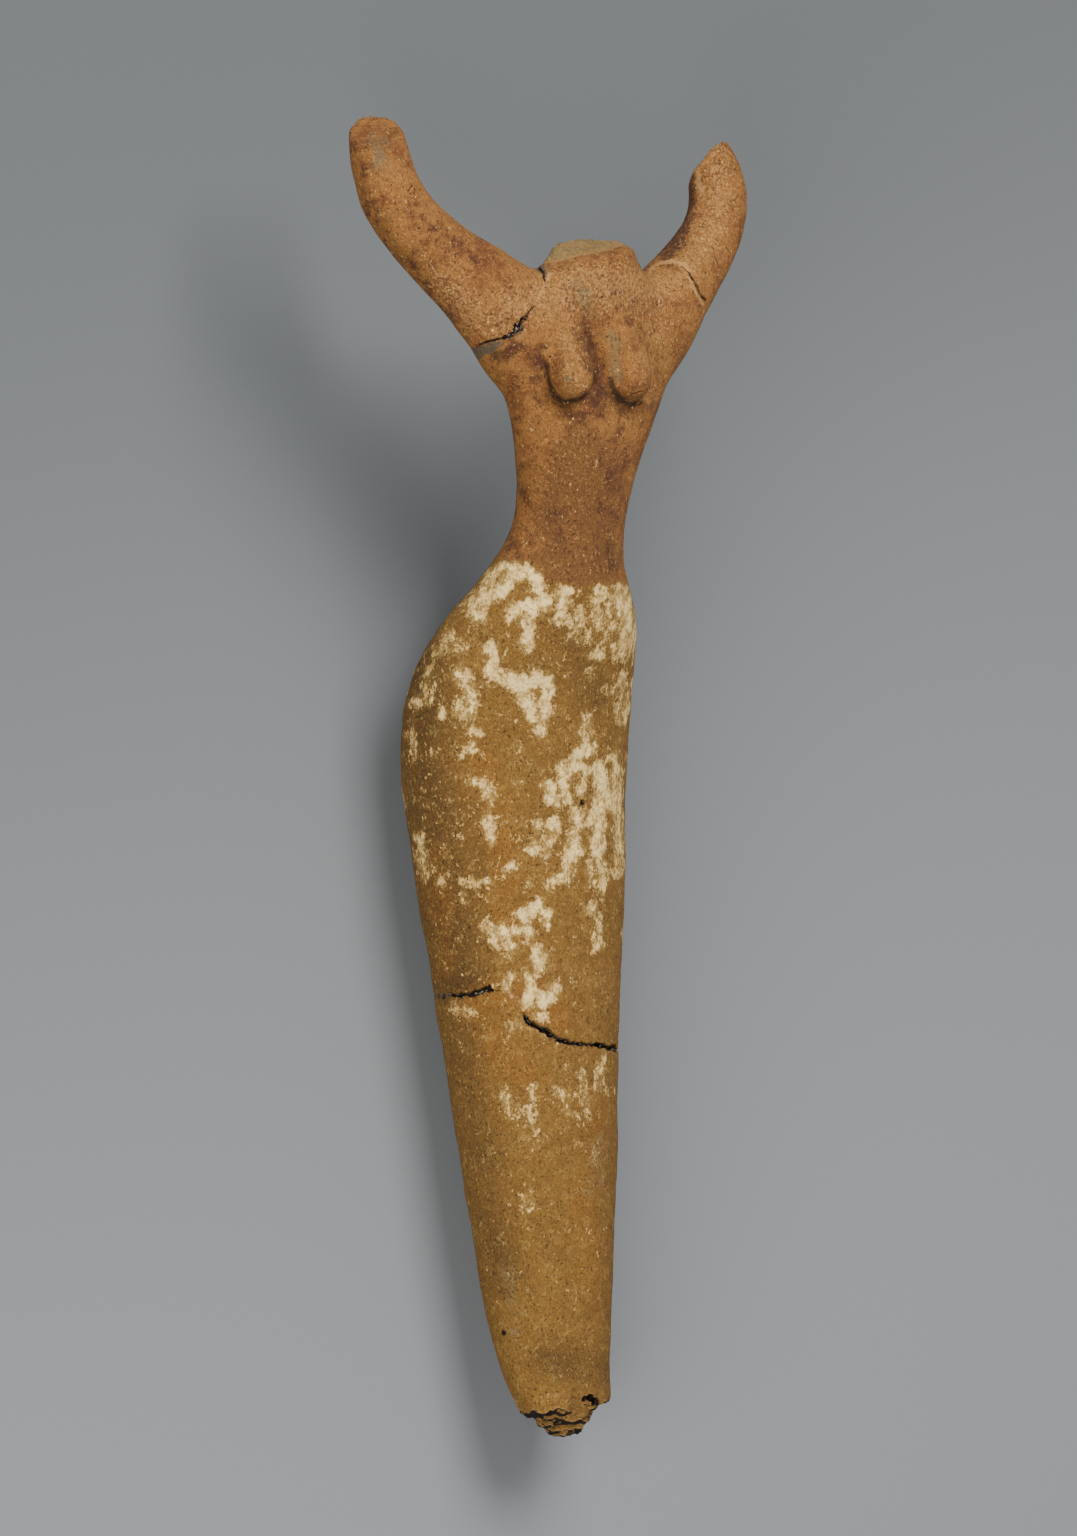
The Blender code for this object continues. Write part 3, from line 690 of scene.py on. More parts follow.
# %% Lay on the paint that shows in the picture
# Each stroke: how much paint is left, then places across and up with half widths, all in mm
PAINT = [
    # Band along the waist
    (1, (-23.7, 214.6, 1.2), (-18.5, 218.2, 1.7), (-13.9, 221.8, 1.7)),
    (0.9, (-20.5, 221.5, 0.5), (-16.5, 224.6, 0.8)),
    (1, (-15.2, 223.6, 1.4), (-10.8, 222.2, 1.6), (-8.2, 221.3, 1.3)),
    (1, (-8.7, 221, 1.3), (-8.5, 217.7, 1.2)),
    (1, (-14.7, 212.5, 1.8), (-10.8, 213.8, 3), (-6.9, 215.2, 1.6)),
    (1, (-12.1, 210.8, 1.6), (-12.3, 209.4, 1)),
    (1, (-10.8, 207.9, 1), (-11.3, 203.4, 0.9)),
    (0.8, (-25.2, 213, 0.7), (-24, 210.6, 0.8)),
    (0.55, (-27.8, 214, 0.8), (-22, 220, 0.6)),
    (0.95, (-1.5, 218.9, 1.8), (-2.6, 214.8, 1.5), (-3.1, 212.3, 0.8)),
    (0.65, (-4.6, 210.2, 0.7), (-1, 209.5, 0.8)),
    (0.85, (0.5, 207.9, 1)),
    (0.65, (2.1, 212.8, 0.9), (2.8, 209.2, 0.9)),
    (0.7, (4.1, 206.1, 1)),
    (0.75, (6.4, 216, 0.9), (6.7, 209.4, 1.1)),
    (0.75, (7.2, 219.7, 0.8), (7.5, 216.4, 0.7)),
    (0.75, (7.2, 204, 0.7), (6.4, 201.4, 0.6)),
    (0.80, (11.3, 221, 1.6), (13.1, 215.6, 2.9), (14.6, 210, 2.6), (13.4, 204, 2.2),
     (12.4, 201, 1)),
    (0.55, (9.2, 213, 1.2), (9.8, 206, 1.2)),
    (0.6, (13.1, 196, 0.8), (12.1, 185.7, 1.1)),
    (0.5, (9.2, 192.4, 0.7)),
    (0.5, (4.4, 197.8, 0.7)),
    # Hip
    (1, (-20.9, 203.6, 1.2), (-20.4, 200, 1.4)),
    (1, (-21.1, 198.1, 1.5), (-16.5, 195, 2), (-12.1, 194.2, 2.1), (-8.2, 195.4, 2.4),
     (-6, 194.4, 1.2)),
    (1, (-13.4, 192.4, 2.2), (-11.3, 189.6, 1.8), (-10.6, 186.4, 1.1), (-10.2, 184.6, 0.7)),
    (0.85, (-6.8, 192.4, 1.1), (-6.7, 188.2, 0.8), (-7.5, 184.2, 1), (-8, 181.6, 0.9)),
    (0.75, (-29.6, 196.8, 1), (-26.3, 193.7, 2.2), (-26, 189.6, 2), (-25.2, 185.7, 1.1)),
    (0.85, (-29.6, 187.8, 0.9), (-28.6, 185, 0.8)),
    (0.5, (-31.4, 206.8, 1.4), (-34, 202.5, 1.8)),
    (0.5, (-28.3, 204.2, 1.2)),
    (0.48, (-36.6, 197.6, 1.8), (-37.9, 189.8, 1.8)),
    (0.85, (-33, 186.2, 0.9)),
    (0.75, (-39.9, 189, 0.8)),
    (0.5, (-41.2, 181.5, 0.6), (-41, 176, 0.6)),
    (0.9, (-27.8, 176.3, 0.8), (-25.5, 177.6, 0.9)),
    (0.7, (-24.7, 181.6, 0.9)),
    (0.8, (-25, 168.9, 0.7), (-21.9, 166.2, 0.9), (-21.1, 164, 0.8)),
    (0.9, (-21.1, 158.9, 1.3), (-20.9, 154.9, 1.2)),
    # Front of the thighs
    (0.95, (3.3, 180.4, 0.9), (3.9, 176.4, 1.5), (0.6, 175.4, 1.1)),
    (0.6, (4.6, 186.2, 0.6), (4.1, 181, 0.7)),
    (0.95, (-2.1, 172.6, 1.2), (-2.3, 168, 1.7), (-1.6, 163.8, 1.3)),
    (0.85, (-5.9, 168.2, 0.8), (-5.3, 164.6, 0.9)),
    (0.85, (-1.8, 173.1, 0.8), (2.1, 172.3, 0.8)),
    (0.85, (3.9, 171.2, 0.7), (2.3, 166.5, 0.6)),
    (0.9, (1.3, 161.2, 1.3), (0.5, 151.4, 2), (-1, 146.4, 1.6), (-2.4, 143.8, 1)),
    (0.8, (-4.9, 158.2, 1.6), (-5.2, 153.8, 1.8)),
    (0.7, (-8.8, 157.2, 1)),
    (0.72, (-9.5, 152.4, 1.3), (-7, 151.2, 1.3)),
    (0.75, (-5.7, 142.5, 0.8), (-4, 143.6, 0.8)),
    (0.92, (7.2, 172.4, 1.4), (8, 166.7, 2.4), (7.3, 160.2, 2.3), (6.4, 153.8, 1.9),
     (6.2, 149.4, 1.2)),
    (0.8, (11.1, 174.6, 0.9), (11.5, 166.7, 1.3), (11.8, 158.9, 1.3), (12.3, 151.2, 1.2),
     (12, 145.5, 0.8)),
    (0.75, (7.2, 148, 0.9), (7.7, 141.8, 1.1)),
    (0.6, (5, 148, 0.6), (5.6, 142, 0.6)),
    (0.75, (5.9, 137.2, 0.8), (5.2, 134.4, 0.8)),
    (0.75, (7.3, 132, 0.5), (6.3, 126.8, 0.5)),
    # Above the knee
    (0.95, (-8.6, 137, 1.1), (-12.6, 133.8, 1)),
    (0.9, (-7.1, 135.4, 0.8), (-6.3, 132.8, 0.7)),
    (0.72, (-23, 132.2, 0.9), (-20.6, 130.2, 1)),
    (0.66, (-19.8, 128.2, 1.5), (-16.5, 126, 1.7)),
    (0.8, (-17.2, 130.2, 0.8), (-13.9, 130.4, 0.8)),
    (0.6, (-16, 124.2, 0.9)),
    (0.95, (-10.3, 129.4, 1)),
    (0.95, (-8.8, 125, 1), (-8.1, 120.8, 1.5)),
    (1, (-10.6, 118.2, 0.9), (-10.8, 111.3, 1.3)),
    (0.95, (-7.5, 112.2, 1.6), (-6.2, 114, 1), (-4, 115.9, 0.9)),
    (0.8, (-16, 118.2, 0.6), (-16.5, 115.8, 0.7)),
    (0.85, (-7.5, 108.4, 0.9)),
    (0.72, (-39.4, 154.3, 0.6), (-37.9, 147.3, 0.8), (-38.1, 144.8, 0.9)),
    (0.62, (-33.7, 143.5, 1)),
    (0.6, (-28.1, 138.8, 0.9)),
    (0.55, (-27.6, 143, 0.7), (-21.4, 143, 0.8)),
    (0.7, (-15.5, 146.6, 1)),
    (0.62, (-10.8, 142.4, 0.9)),
    # Below the knee
    (0.55, (-29.9, 109.6, 1), (-25.8, 110.2, 1)),
    (0.75, (-15.2, 105.9, 0.8)),
    (0.8, (-17.5, 89.4, 1), (-16.7, 85.5, 1.7), (-14.4, 82.8, 1.7)),
    (0.85, (-9.8, 89.2, 0.8), (-10.3, 83.5, 1.4), (-10, 78.2, 0.9)),
    (0.55, (-16, 87, 2.2), (-11.5, 82, 2.6), (-10, 76, 1.6)),
    (0.40, (-2, 94, 2), (3, 86, 3), (2, 78, 2)),
    (0.9, (-3.6, 90, 0.7), (-1.5, 86.8, 1.4), (-1.8, 84.4, 1)),
    (0.9, (0.5, 82.4, 0.8)),
    (0.78, (2.8, 93.4, 0.5), (3.4, 86, 0.8), (3.9, 81.7, 0.7)),
    (0.78, (7.5, 95.4, 1), (7.3, 91, 0.7), (9.5, 88.6, 1.1)),
    (0.42, (5.2, 75.4, 1.5), (6.2, 68.6, 1.6)),
    (0.78, (-12.4, 62.4, 1.3), (-10.9, 59.4, 1.1)),
    (0.6, (-5.2, 60, 0.8)),
]
# Each hole: how much of the paint is gone there, then its places
HOLES = [(0.9, (-13.3, 217.2, 1.2), (-11.6, 217.6, 0.9)), (0.5, (-20, 211.9, 1.2))]
PAINT_SOFTNESS = 2.4
HOLE_SOFTNESS = 1.4

paint = Layer(skin)
for strength, *path in PAINT:
    paint.stroke(min(1.0, 0.08 + 0.92 * strength), path, soft=PAINT_SOFTNESS)
for strength, *path in HOLES:
    paint.stroke(strength, path, soft=HOLE_SOFTNESS, erase=True)
print("strokes:", len(PAINT))

# %% [markdown]
# The back and the far side aren't in the picture. They get strokes of the same kind at seeded
# random places: many near the waist, fewer towards the knee, and none near the foot. Then the
# strokes below the knee are thinned out, a faint rest of paint goes all over the thighs, and
# everything above the painted waist is cleared.

# %% Scatter paint over the hidden side
SKIRT_TOP = 222.0
PAINTED_LENGTH = 165
HIDDEN_STROKES = 90
HIDDEN_BEARINGS = (196, 412)

hidden = np.random.default_rng(7)
for _ in range(HIDDEN_STROKES):
    bearing = hidden.uniform(*HIDDEN_BEARINGS)
    height = SKIRT_TOP - 2 - PAINTED_LENGTH * hidden.power(0.8) * hidden.uniform(0.1, 1)
    across = middle_across(paint.places * MM, height * MM, bearing) / MM
    size = hidden.uniform(0.6, 2.4)
    lean = hidden.uniform(-2.5, 2.5)
    fall = size * hidden.uniform(1.0, 4.0)
    path = [(across, height, size), (across + lean, height - fall, size * 0.6)]
    paint.stroke(hidden.uniform(0.55, 0.95), path, bearing=bearing)

heights = paint.places[:, 2]
paint.amount *= 1 - 0.40 * stepped(-heights, -98, -92)
worn = 0.12 * stepped(heights, 60, 165)
across_view = paint.places @ sight(VIEW_BEARING)[1]
waist = SKIRT_TOP + 3.0 - 5.5 * stepped(across_view, -9, -6)
waist += 1.2 * wobble(corner_places, 7) + 0.6 * wobble(corner_places, 1.8)
paint.amount = np.maximum(paint.amount, worn) * stepped(waist - heights, -0.8, 0.4)
paint.store(skin, "paint")

# %% [markdown]
# ## The clay's colours
#
# The bare clay changes over the figure. Above the waist it was left unpainted and has turned a
# redder, polished brown, with purple-brown blotches where it was handled and pale pink grit on the
# shoulders. On the skirt it is a dustier ochre. These broad changes are layers too, one number
# each at the corners, and the material mixes its colours by them. Some layers also paint shade
# into the colour: between and under the breasts, in the furrows round them, on the belly and on
# the skirt's side that is turned from the light.

# %% Map the redder torso, the stains and the grey patches
torso = Layer(skin)
torso.amount = stepped(heights - waist, -0.8, 1.2)
torso.store(skin, "torso")

# Each stroke: its strength, how soft its edge is, then places with half widths, all in mm.
# First the purple-brown blotches, with purple-brown painted shade between and under the breasts
STAINS_AND_SHADE = [
    (1, 1.6, (24.5, 304, 1.6), (27.5, 309, 2.4), (30, 316, 1.8)),
    (0.8, 2, (30, 316, 1.5), (31, 323, 1.2)),
    (0.9, 1.4, (-20, 278, 1.2), (-16, 278.6, 1.6), (-14, 281, 0.8)),
    # Painted shade between and under the breasts, in the blotches' colour
    (0.75, 2.2, (3, 286, 1), (6, 278, 1.8), (7, 266, 2)),
    (0.55, 3, (-8.5, 279, 1.5), (-8.5, 268, 1.5), (0, 262, 1.8), (12, 263, 1.8)),
    (0.6, 2.5, (12, 295, 2), (15, 288, 2.5), (17, 280, 1.5)),
    (0.45, 4.5, (11, 258, 4), (8, 240, 3.5), (9, 226, 3)),
    (0.35, 2.5, (-14.5, 262, 0.6), (-13.5, 245, 0.6), (-17.5, 226, 0.8)),
    (0.45, 3.5, (-5, 240, 1.5), (-3, 232, 2)),
    (0.5, 3.5, (-52, 316, 1.5), (-44, 303, 2), (-31, 287, 2)),
    (0.5, 3, (-41, 317, 1.5), (-33, 307, 1.5), (-24, 303, 1.2)),
    (0.5, 2.5, (-54.5, 327, 1.5), (-53, 319, 1.5)),
]
# Greyish patches
GREYS = [
    (0.60, 2.6, (10.4, 283, 1.2), (11.6, 277, 1.3), (10.6, 272, 0.8)),
    (0.50, 3, (-50, 334, 1.8), (-49, 327, 1.8)),
    (0.75, 0.7, (-1.9, 272.3, 0.9), (-0.6, 272, 0.7)),
    (0.50, 3, (1, 297, 2), (5, 290, 2)),
    (0.80, 0.8, (-7.8, 300.4, 1), (-6.8, 298.8, 0.8)),
    (0.35, 4, (-17, 46, 2), (-15, 24, 2)),
    (0.40, 4, (7, 76, 3), (6.5, 64, 2)),
]
# Pale pink grit
GRITTY = [
    (0.9, 6, (-16, 290, 5), (0, 296, 6), (22, 296, 5)),
    (0.8, 5, (-22, 286, 4), (-33, 296, 3)),
    (0.8, 4, (30, 300, 4), (38, 318, 4), (37, 334, 3)),
    (0.6, 4, (-1, 284, 3), (1, 270, 3)),
    (0.6, 4, (22, 286, 4), (20, 270, 3)),
]
# The darker, greener side of the skirt: partly the clay's own olive tone, partly painted shade on
# the side turned from the light
OLIVES_AND_SHADE = [
    (0.70, 12, (-39, 198, 5), (-37, 168, 7), (-33, 140, 7), (-29, 117, 6)),
    (0.55, 9, (-28, 110, 4), (-23, 80, 4), (-17, 40, 3)),
    (0.5, 8, (-26, 160, 4), (-24, 145, 4)),
    (0.6, 7, (-6, 20, 5), (6, 17, 5)),
    (0.5, 7, (-2, 208, 4), (6, 190, 4)),
]
# Warm patches around the knee
ORANGES = [
    (0.9, 6, (-26, 111, 3), (-13, 114, 4), (-4, 108, 3)),
    (0.8, 7, (-19, 101, 4), (-12, 92, 3)),
    (0.6, 6, (-36, 150, 2), (-32, 122, 3)),
    (0.6, 6, (-24, 178, 3), (-18, 150, 4), (-16, 132, 3)),
    (0.5, 6, (6, 84, 3), (4, 60, 4), (7, 36, 3)),
]
# The darker brown of the chest and the belly: partly soiling, partly painted shade where the belly
# turns from the light, between the breasts and under them
BELLY_AND_SHADE = [
    (0.6, 5, (3, 295, 3), (5, 277, 3)),
    (0.9, 6, (3, 252, 9), (1, 226, 12)),
    (0.5, 4, (8, 268, 2), (20, 262, 3)),
    (0.4, 6, (-40, 304, 3), (-28, 290, 3)),
]
# Painted shade: dark strokes in the furrows round the breasts, beside the left breast and just under
# the right shoulder's join, where the shadow falls
FURROW_SHADE = [
    (0.55, 2.2, (-6, 268, 0.6), (-1, 264.4, 1), (5, 267, 0.8), (8.4, 270, 0.8),
     (11, 266, 1), (16, 263.8, 1), (21, 266, 0.6)),
    (1, 0.7, (-6.6, 276, 0.3), (-6, 271.5, 0.5), (-4.6, 268, 0.6), (-1.8, 266.4, 0.7),
     (1.6, 266.6, 0.5), (4.4, 268.6, 0.2)),
    (1, 0.7, (9.9, 273, 0.3), (10.8, 269.2, 0.6), (12.6, 266.8, 0.7), (15.4, 265.8, 0.6),
     (18, 266.4, 0.3)),
    (0.5, 1.2, (21.8, 281, 0.3), (22, 272, 0.3)),
    (0.6, 0.8, (-23.5, 279, 0.3), (-19, 280.4, 0.3)),
]
# Pale chipped edges
CHIPS = [
    (1, 0.6, (20, 300.5, 0.3), (22.5, 302.6, 0.5), (26, 303.2, 0.6), (29, 302.2, 0.6),
     (30.6, 300.4, 0.4)),
    (0.9, 0.4, (30.4, 298.6, 0.3), (31.6, 295.8, 0.3), (32.6, 293.6, 0.3), (34, 291.8, 0.3)),
    (0.8, 0.6, (-8.6, 292.8, 0.3), (-7.2, 296, 0.4), (-6, 299, 0.5)),
    (0.6, 0.6, (-12, 285, 0.5), (-13.5, 282.6, 0.5)),
    (0.6, 0.6, (-17.6, 115.1, 0.2), (-14.2, 113.1, 0.3), (-12, 110.4, 0.2)),
    (0.6, 0.5, (-11.4, 105.6, 0.4), (-8, 104.2, 0.3), (-6, 102.6, 0.3)),
    (0.8, 1, (28.5, 330.5, 0.6), (32, 327, 0.8), (33.5, 321, 0.6)),
]
# Grey filler of the repair
FILLERS = [
    (1, 0.6, (-18, 281.2, 0.5), (-20.5, 280.3, 1.2), (-24.5, 278.8, 1.5), (-27, 278, 1.3)),
    (0.7, 0.6, (-35, 113.6, 0.7), (-31, 114, 0.4)),
    (0.9, 0.6, (-8.6, 300.8, 0.9), (-7.2, 299.4, 0.7)),
]
MAPS = {"stain_and_shade": STAINS_AND_SHADE, "grey": GREYS, "gritty": GRITTY, "olive_and_shade": OLIVES_AND_SHADE, "orange": ORANGES,
        "belly_and_shade": BELLY_AND_SHADE, "filler": FILLERS, "chipped": CHIPS, "furrow_shade": FURROW_SHADE}
for name, strokes in MAPS.items():
    tint = Layer(skin)
    for strength, soft, *path in strokes:
        tint.stroke(strength, path, soft=soft)
    tint.store(skin, name)

# %% Map the breaks, the cracks and the glue
broken = on_the_breaks(skin.data)
MEASURED = {
    "broken": broken,
    "core": broken * (heights < 25),
    "crack": np.maximum(stepped(crack_depth, 0.10 * MM, 0.45 * MM), foot_slits),
    "glue": stepped(glued_depth, 0.60 * MM, 1.00 * MM),
}
for name, amount in MEASURED.items():
    measured = Layer(skin)
    measured.amount = amount
    measured.store(skin, name)

# %% [markdown]
# ## The material
#
# One material covers the figure, because it is one lump of clay: the paint, the stains and the
# breaks are masks in it, and each mask mixes in its own colour and bump. All patterns read Object
# coordinates, which stay fixed to the figure from every side. A class lets Python's own operators
# add the Math nodes, so that a mask reads like a formula.

# %% A class for shader formulas
class Wire:
    """An output socket that Python's operators work on. Each operator adds a Math node."""

    def __init__(self, tree, socket=None):
        self.tree = tree
        self.socket = socket

    def node(self, kind, settings, sockets, output=0):
        """A new node: its type, its settings, then its sockets' values or wires."""
        made = self.tree.nodes.new("ShaderNode" + kind)
        for name, value in settings.items():
            setattr(made, name, value)
        for name, value in sockets.items():
            if isinstance(value, Wire):
                self.tree.links.new(value.socket, made.inputs[name])
            else:
                made.inputs[name].default_value = value
        return Wire(self.tree, made.outputs[output])

    def math(self, operation, first, second):
        """A Math node on two values or wires."""
        return self.node("Math", {"operation": operation}, {0: first, 1: second})

    def __add__(self, other):
        return self.math("ADD", self, other)

    __radd__ = __add__

    def __sub__(self, other):
        return self.math("SUBTRACT", self, other)

    def __rsub__(self, other):
        return self.math("SUBTRACT", other, self)

    def __mul__(self, other):
        return self.math("MULTIPLY", self, other)

    __rmul__ = __mul__

    def __or__(self, other):
        return self.math("MAXIMUM", self, other)

    def stretch(self, low, high):
        """0 at low, 1 at high, straight between them."""
        return self.node("MapRange", {}, {0: self, 1: low, 2: high, 3: 0.0, 4: 1.0})

    def step(self, low, high):
        """0 below low, 1 above high, with a smooth step between."""
        return self.node("MapRange", {"interpolation_type": "SMOOTHSTEP"},
                         {0: self, 1: low, 2: high, 3: 0.0, 4: 1.0})

    def blend(self, first, second):
        """The first colour where this mask is 0, and the second where it is 1."""
        return self.node("Mix", {"data_type": "RGBA"}, {0: self, 6: first, 7: second}, 2)

    def shade(self, colour, amount):
        """A colour made darker or lighter by an amount."""
        grey = self.node("CombineColor", {}, {0: amount, 1: amount, 2: amount})
        return self.node("Mix", {"data_type": "RGBA", "blend_type": "MULTIPLY"},
                         {0: 1.0, 6: colour, 7: grey}, 2)


def colour(red, green, blue):
    """A colour from the 0 to 255 values that a colour picker shows, made linear."""
    linear = []
    for value in (red, green, blue):
        share = value / 255
        linear.append(share / 12.92 if share <= 0.04045 else ((share + 0.055) / 1.055) ** 2.4)
    return (*linear, 1.0)


print("cream paint:", [round(c, 2) for c in colour(255, 221, 146)[:3]])

# %% [markdown]
# ### Patterns
#
# Such clay has marks of many sizes: clouds from the fire, patches, scratches, grains of sand. Each
# is a solid noise here, and the masks add and compare them. The paint is a mask too. It shows where
# its strokes plus the noise of the flakes pass a threshold, which breaks a plain stroke into flakes
# and crumbs. Painting a texture by hand is the usual way, but it needs a UV map and blurs close up.

# %% Patterns and masks of the clay
clay = bpy.data.materials.new("painted_terracotta")
clay.use_nodes = True
tree = clay.node_tree
shader = tree.nodes["Principled BSDF"]
w = Wire(tree)
along_the_body = w.node("TexCoord", {}, {}, "Object")


def pattern(size, detail=2.0, stretch=1.0, shift=0.0, rough=0.55, spread=0.22):
    """Solid noise from 0 to 1 with blobs of a size, longer up the body by the stretch."""
    place = w.node("Mapping", {}, {"Vector": along_the_body, "Location": (shift, shift, -shift),
                                   "Scale": (1.0, 1.0 / stretch, 1.0)})
    blobs = w.node("TexNoise", {}, {"Vector": place, "Scale": 1.0 / size, "Detail": detail,
                                    "Roughness": rough})
    return blobs.stretch(0.5 - spread, 0.5 + spread)


def layer(name):
    """One of the numbers that are stored at the corners."""
    return w.node("Attribute", {"attribute_name": name}, {}, "Fac")


broad = pattern(11 * MM, 3)
patchy = pattern(3.2 * MM, 4, shift=1.3, rough=0.65)
flake = pattern(2.5 * MM, 6, stretch=1.25, shift=2.1, rough=0.72, spread=0.15)
grain = pattern(0.8 * MM, 5, shift=3.7, rough=0.9, spread=0.12)
fine = pattern(0.34 * MM, 2, shift=4.9, rough=0.9, spread=0.14)
streak = pattern(0.9 * MM, 4, stretch=6, shift=5.3, rough=0.6)
pinholes = pattern(0.75 * MM, 3, shift=9.4, rough=0.75)
crumbs = pattern(0.6 * MM, 3, stretch=1.7, shift=7.7, rough=0.75, spread=0.16)
blotch = pattern(1.7 * MM, 4, shift=17.0, rough=0.7)
chip = pattern(1.1 * MM, 5, stretch=1.3, shift=19.0, rough=0.78, spread=0.17)

cover = layer("paint") * 1.35 - 0.10 + (flake - 0.5) * 1.15 + (chip - 0.5) * 0.95
cover = cover + (crumbs - 0.5) * 0.55
thin_cover = layer("paint") * 0.9 + (chip - 0.5) * 0.9 + (crumbs - 0.5) * 0.9
thin_cover = thin_cover + (streak - 0.5) * 0.4
peppered = pinholes.step(0.70, 0.82)
painted = (cover.step(0.60, 0.615) | thin_cover.step(0.71, 0.74)) * (1.0 - 0.75 * peppered)
broken_mask = layer("broken")
crack_mask = layer("crack")
print("nodes so far:", len(tree.nodes))

# %% [markdown]
# ### Bare clay
#
# Each colour is named for what it stands for. A mask mixes one more colour over the last, from the
# broadest change to the smallest speck, so that any of them can be tried alone. A Color Ramp could
# do it for one mask, but it would hide its colours inside a node.

# %% Mix the colours of the bare clay
OCHRE = colour(128, 91, 35)
OLIVE_AND_SHADE = colour(68, 46, 15)
ORANGE = colour(136, 87, 27)
SAND = colour(168, 136, 72)
TORSO = colour(152, 101, 46)
UMBER = colour(108, 63, 29)
PLUM = colour(70, 36, 21)
BELLY_AND_SHADE_BROWN = colour(107, 70, 31)
PINK = colour(186, 138, 81)
GREY_CLAY = colour(118, 103, 72)
# Near-black for the grain's specks and pinholes, and for the painted shade in the furrows
DARK_SPECK_AND_SHADE = colour(34, 20, 9)

# Olive tone, with painted shade on the skirt's side turned from the light
olive_and_shade_mask = (layer("olive_and_shade") + (broad - 0.5) * 0.35 + (patchy - 0.5) * 0.25).step(0.05, 1.15)
skirt_colour = olive_and_shade_mask.blend(OCHRE, OLIVE_AND_SHADE)
orange_mask = layer("orange") + (pattern(15 * MM, 2, shift=8.0) - 0.5) * 0.5 + (patchy - 0.5) * 0.3
orange_mask = orange_mask.step(0.05, 0.95) * 0.60
skirt_colour = orange_mask.blend(skirt_colour, ORANGE)
dusty = (layer("paint") + (patchy - 0.5) * 0.5 + (grain - 0.5) * 0.4).step(0.20, 0.70) * 0.55
skirt_colour = dusty.blend(skirt_colour, SAND)
sanded = (patchy * 0.5 + crumbs * 0.5).step(0.52, 0.90) * 0.5
skirt_colour = sanded.blend(skirt_colour, SAND)
skirt_colour = (blotch.step(0.62, 0.90) * 0.35).blend(skirt_colour, UMBER)

umber_mask = (patchy * 0.5 + broad * 0.5).step(0.34, 0.76) * 0.85
torso_colour = umber_mask.blend(TORSO, UMBER)
# Darker belly: soiling, and painted shade where it turns from the light and under the breasts
belly_and_shade_mask = (layer("belly_and_shade") + (broad - 0.5) * 0.5).step(0.15, 0.85) * 0.8
torso_colour = belly_and_shade_mask.blend(torso_colour, BELLY_AND_SHADE_BROWN)
# Stains, and painted shade between and under the breasts
stain_and_shade_mask = layer("stain_and_shade") + (patchy - 0.5) * 0.9 + (grain - 0.5) * 0.5 + (broad - 0.5) * 0.3
torso_colour = (stain_and_shade_mask.step(0.15, 0.85) * 0.85).blend(torso_colour, PLUM)
torso_colour = (blotch.step(0.60, 0.85) * 0.35).blend(torso_colour, PLUM)
pale_grit = layer("gritty") * 0.55 + (grain - 0.5) * 1.1 + (crumbs - 0.5) * 0.7
pale_grit = pale_grit.step(0.25, 0.75)
torso_colour = (pale_grit * 0.65).blend(torso_colour, PINK)

bare = layer("torso").blend(skirt_colour, torso_colour)
grey_mask = (layer("grey") + (patchy - 0.5) * 0.5 + (grain - 0.5) * 0.4).step(0.28, 0.70) * 0.75
bare = grey_mask.blend(bare, GREY_CLAY)
# Painted shade in the furrows round the breasts, mixed in as a near-black colour
furrow_shade_mask = (layer("furrow_shade") + (grain - 0.5) * 0.4).step(0.15, 0.95) * 0.85
bare = furrow_shade_mask.blend(bare, DARK_SPECK_AND_SHADE)
mottle = 0.58 * (grain - 0.5) + 0.54 * (fine - 0.5) + 0.22 * (patchy - 0.5) + 0.20 * (streak - 0.5)
bare = w.shade(bare, 0.90 + mottle * (1.0 - 0.35 * layer("torso")) + 0.18 * broad)
specks = pattern(0.7 * MM, 3, stretch=1.4, shift=14.0, rough=0.7, spread=0.16)
bare = (specks.step(0.76, 0.92) * 0.7).blend(bare, DARK_SPECK_AND_SHADE)
bare = (pinholes.step(0.82, 0.94) * 0.7).blend(bare, DARK_SPECK_AND_SHADE)
print("nodes so far:", len(tree.nodes))

# %% [markdown]
# ### Paint, breaks and cracks
#
# These lie over the bare clay: the paint, the breaks with their pale rims and the dark core of the
# foot, the filler and the chips, and last the dirt and the glints of glue in the cracks. Separate
# materials on separate faces would show hard borders along the mesh, so these are masks as well.

# %% Mix the colours of the paint, the breaks and the cracks
CREAM = colour(255, 221, 146)
THIN_CREAM = colour(196, 153, 84)
BREAK = colour(166, 124, 62)
CORE = colour(20, 14, 5)
PALE_CORE = colour(40, 28, 11)
FILLER = colour(90, 76, 57)
DIRT = colour(20, 13, 8)
RUST = colour(72, 37, 16)
GLINT = colour(190, 180, 156)

paint_colour = (cover + (patchy - 0.5) * 0.5).step(0.55, 1.55).blend(THIN_CREAM, CREAM)
paint_colour = w.shade(paint_colour, 0.76 + 0.30 * grain + 0.24 * fine)
surface = painted.blend(bare, paint_colour)
torn_core = patchy.step(0.2, 0.8).blend(CORE, PALE_CORE)
torn = layer("core").blend(patchy.blend(BREAK, GREY_CLAY), torn_core)
surface = broken_mask.blend(surface, w.shade(torn, 0.50 + 1.0 * grain))
rim = broken_mask.step(0.05, 0.40) * (1.0 - broken_mask.step(0.45, 0.90)) * (0.2 + patchy)
surface = (rim * 0.7).blend(surface, PINK)
filler_mask = (layer("filler") + (blotch - 0.5) * 0.5 + (grain - 0.5) * 0.4).step(0.35, 0.60) * 0.9
surface = filler_mask.blend(surface, w.shade(FILLER, 0.5 + grain))
chips = (layer("chipped") + (grain - 0.5) * 0.8).step(0.35, 0.70) * 0.85
surface = chips.blend(surface, PINK)
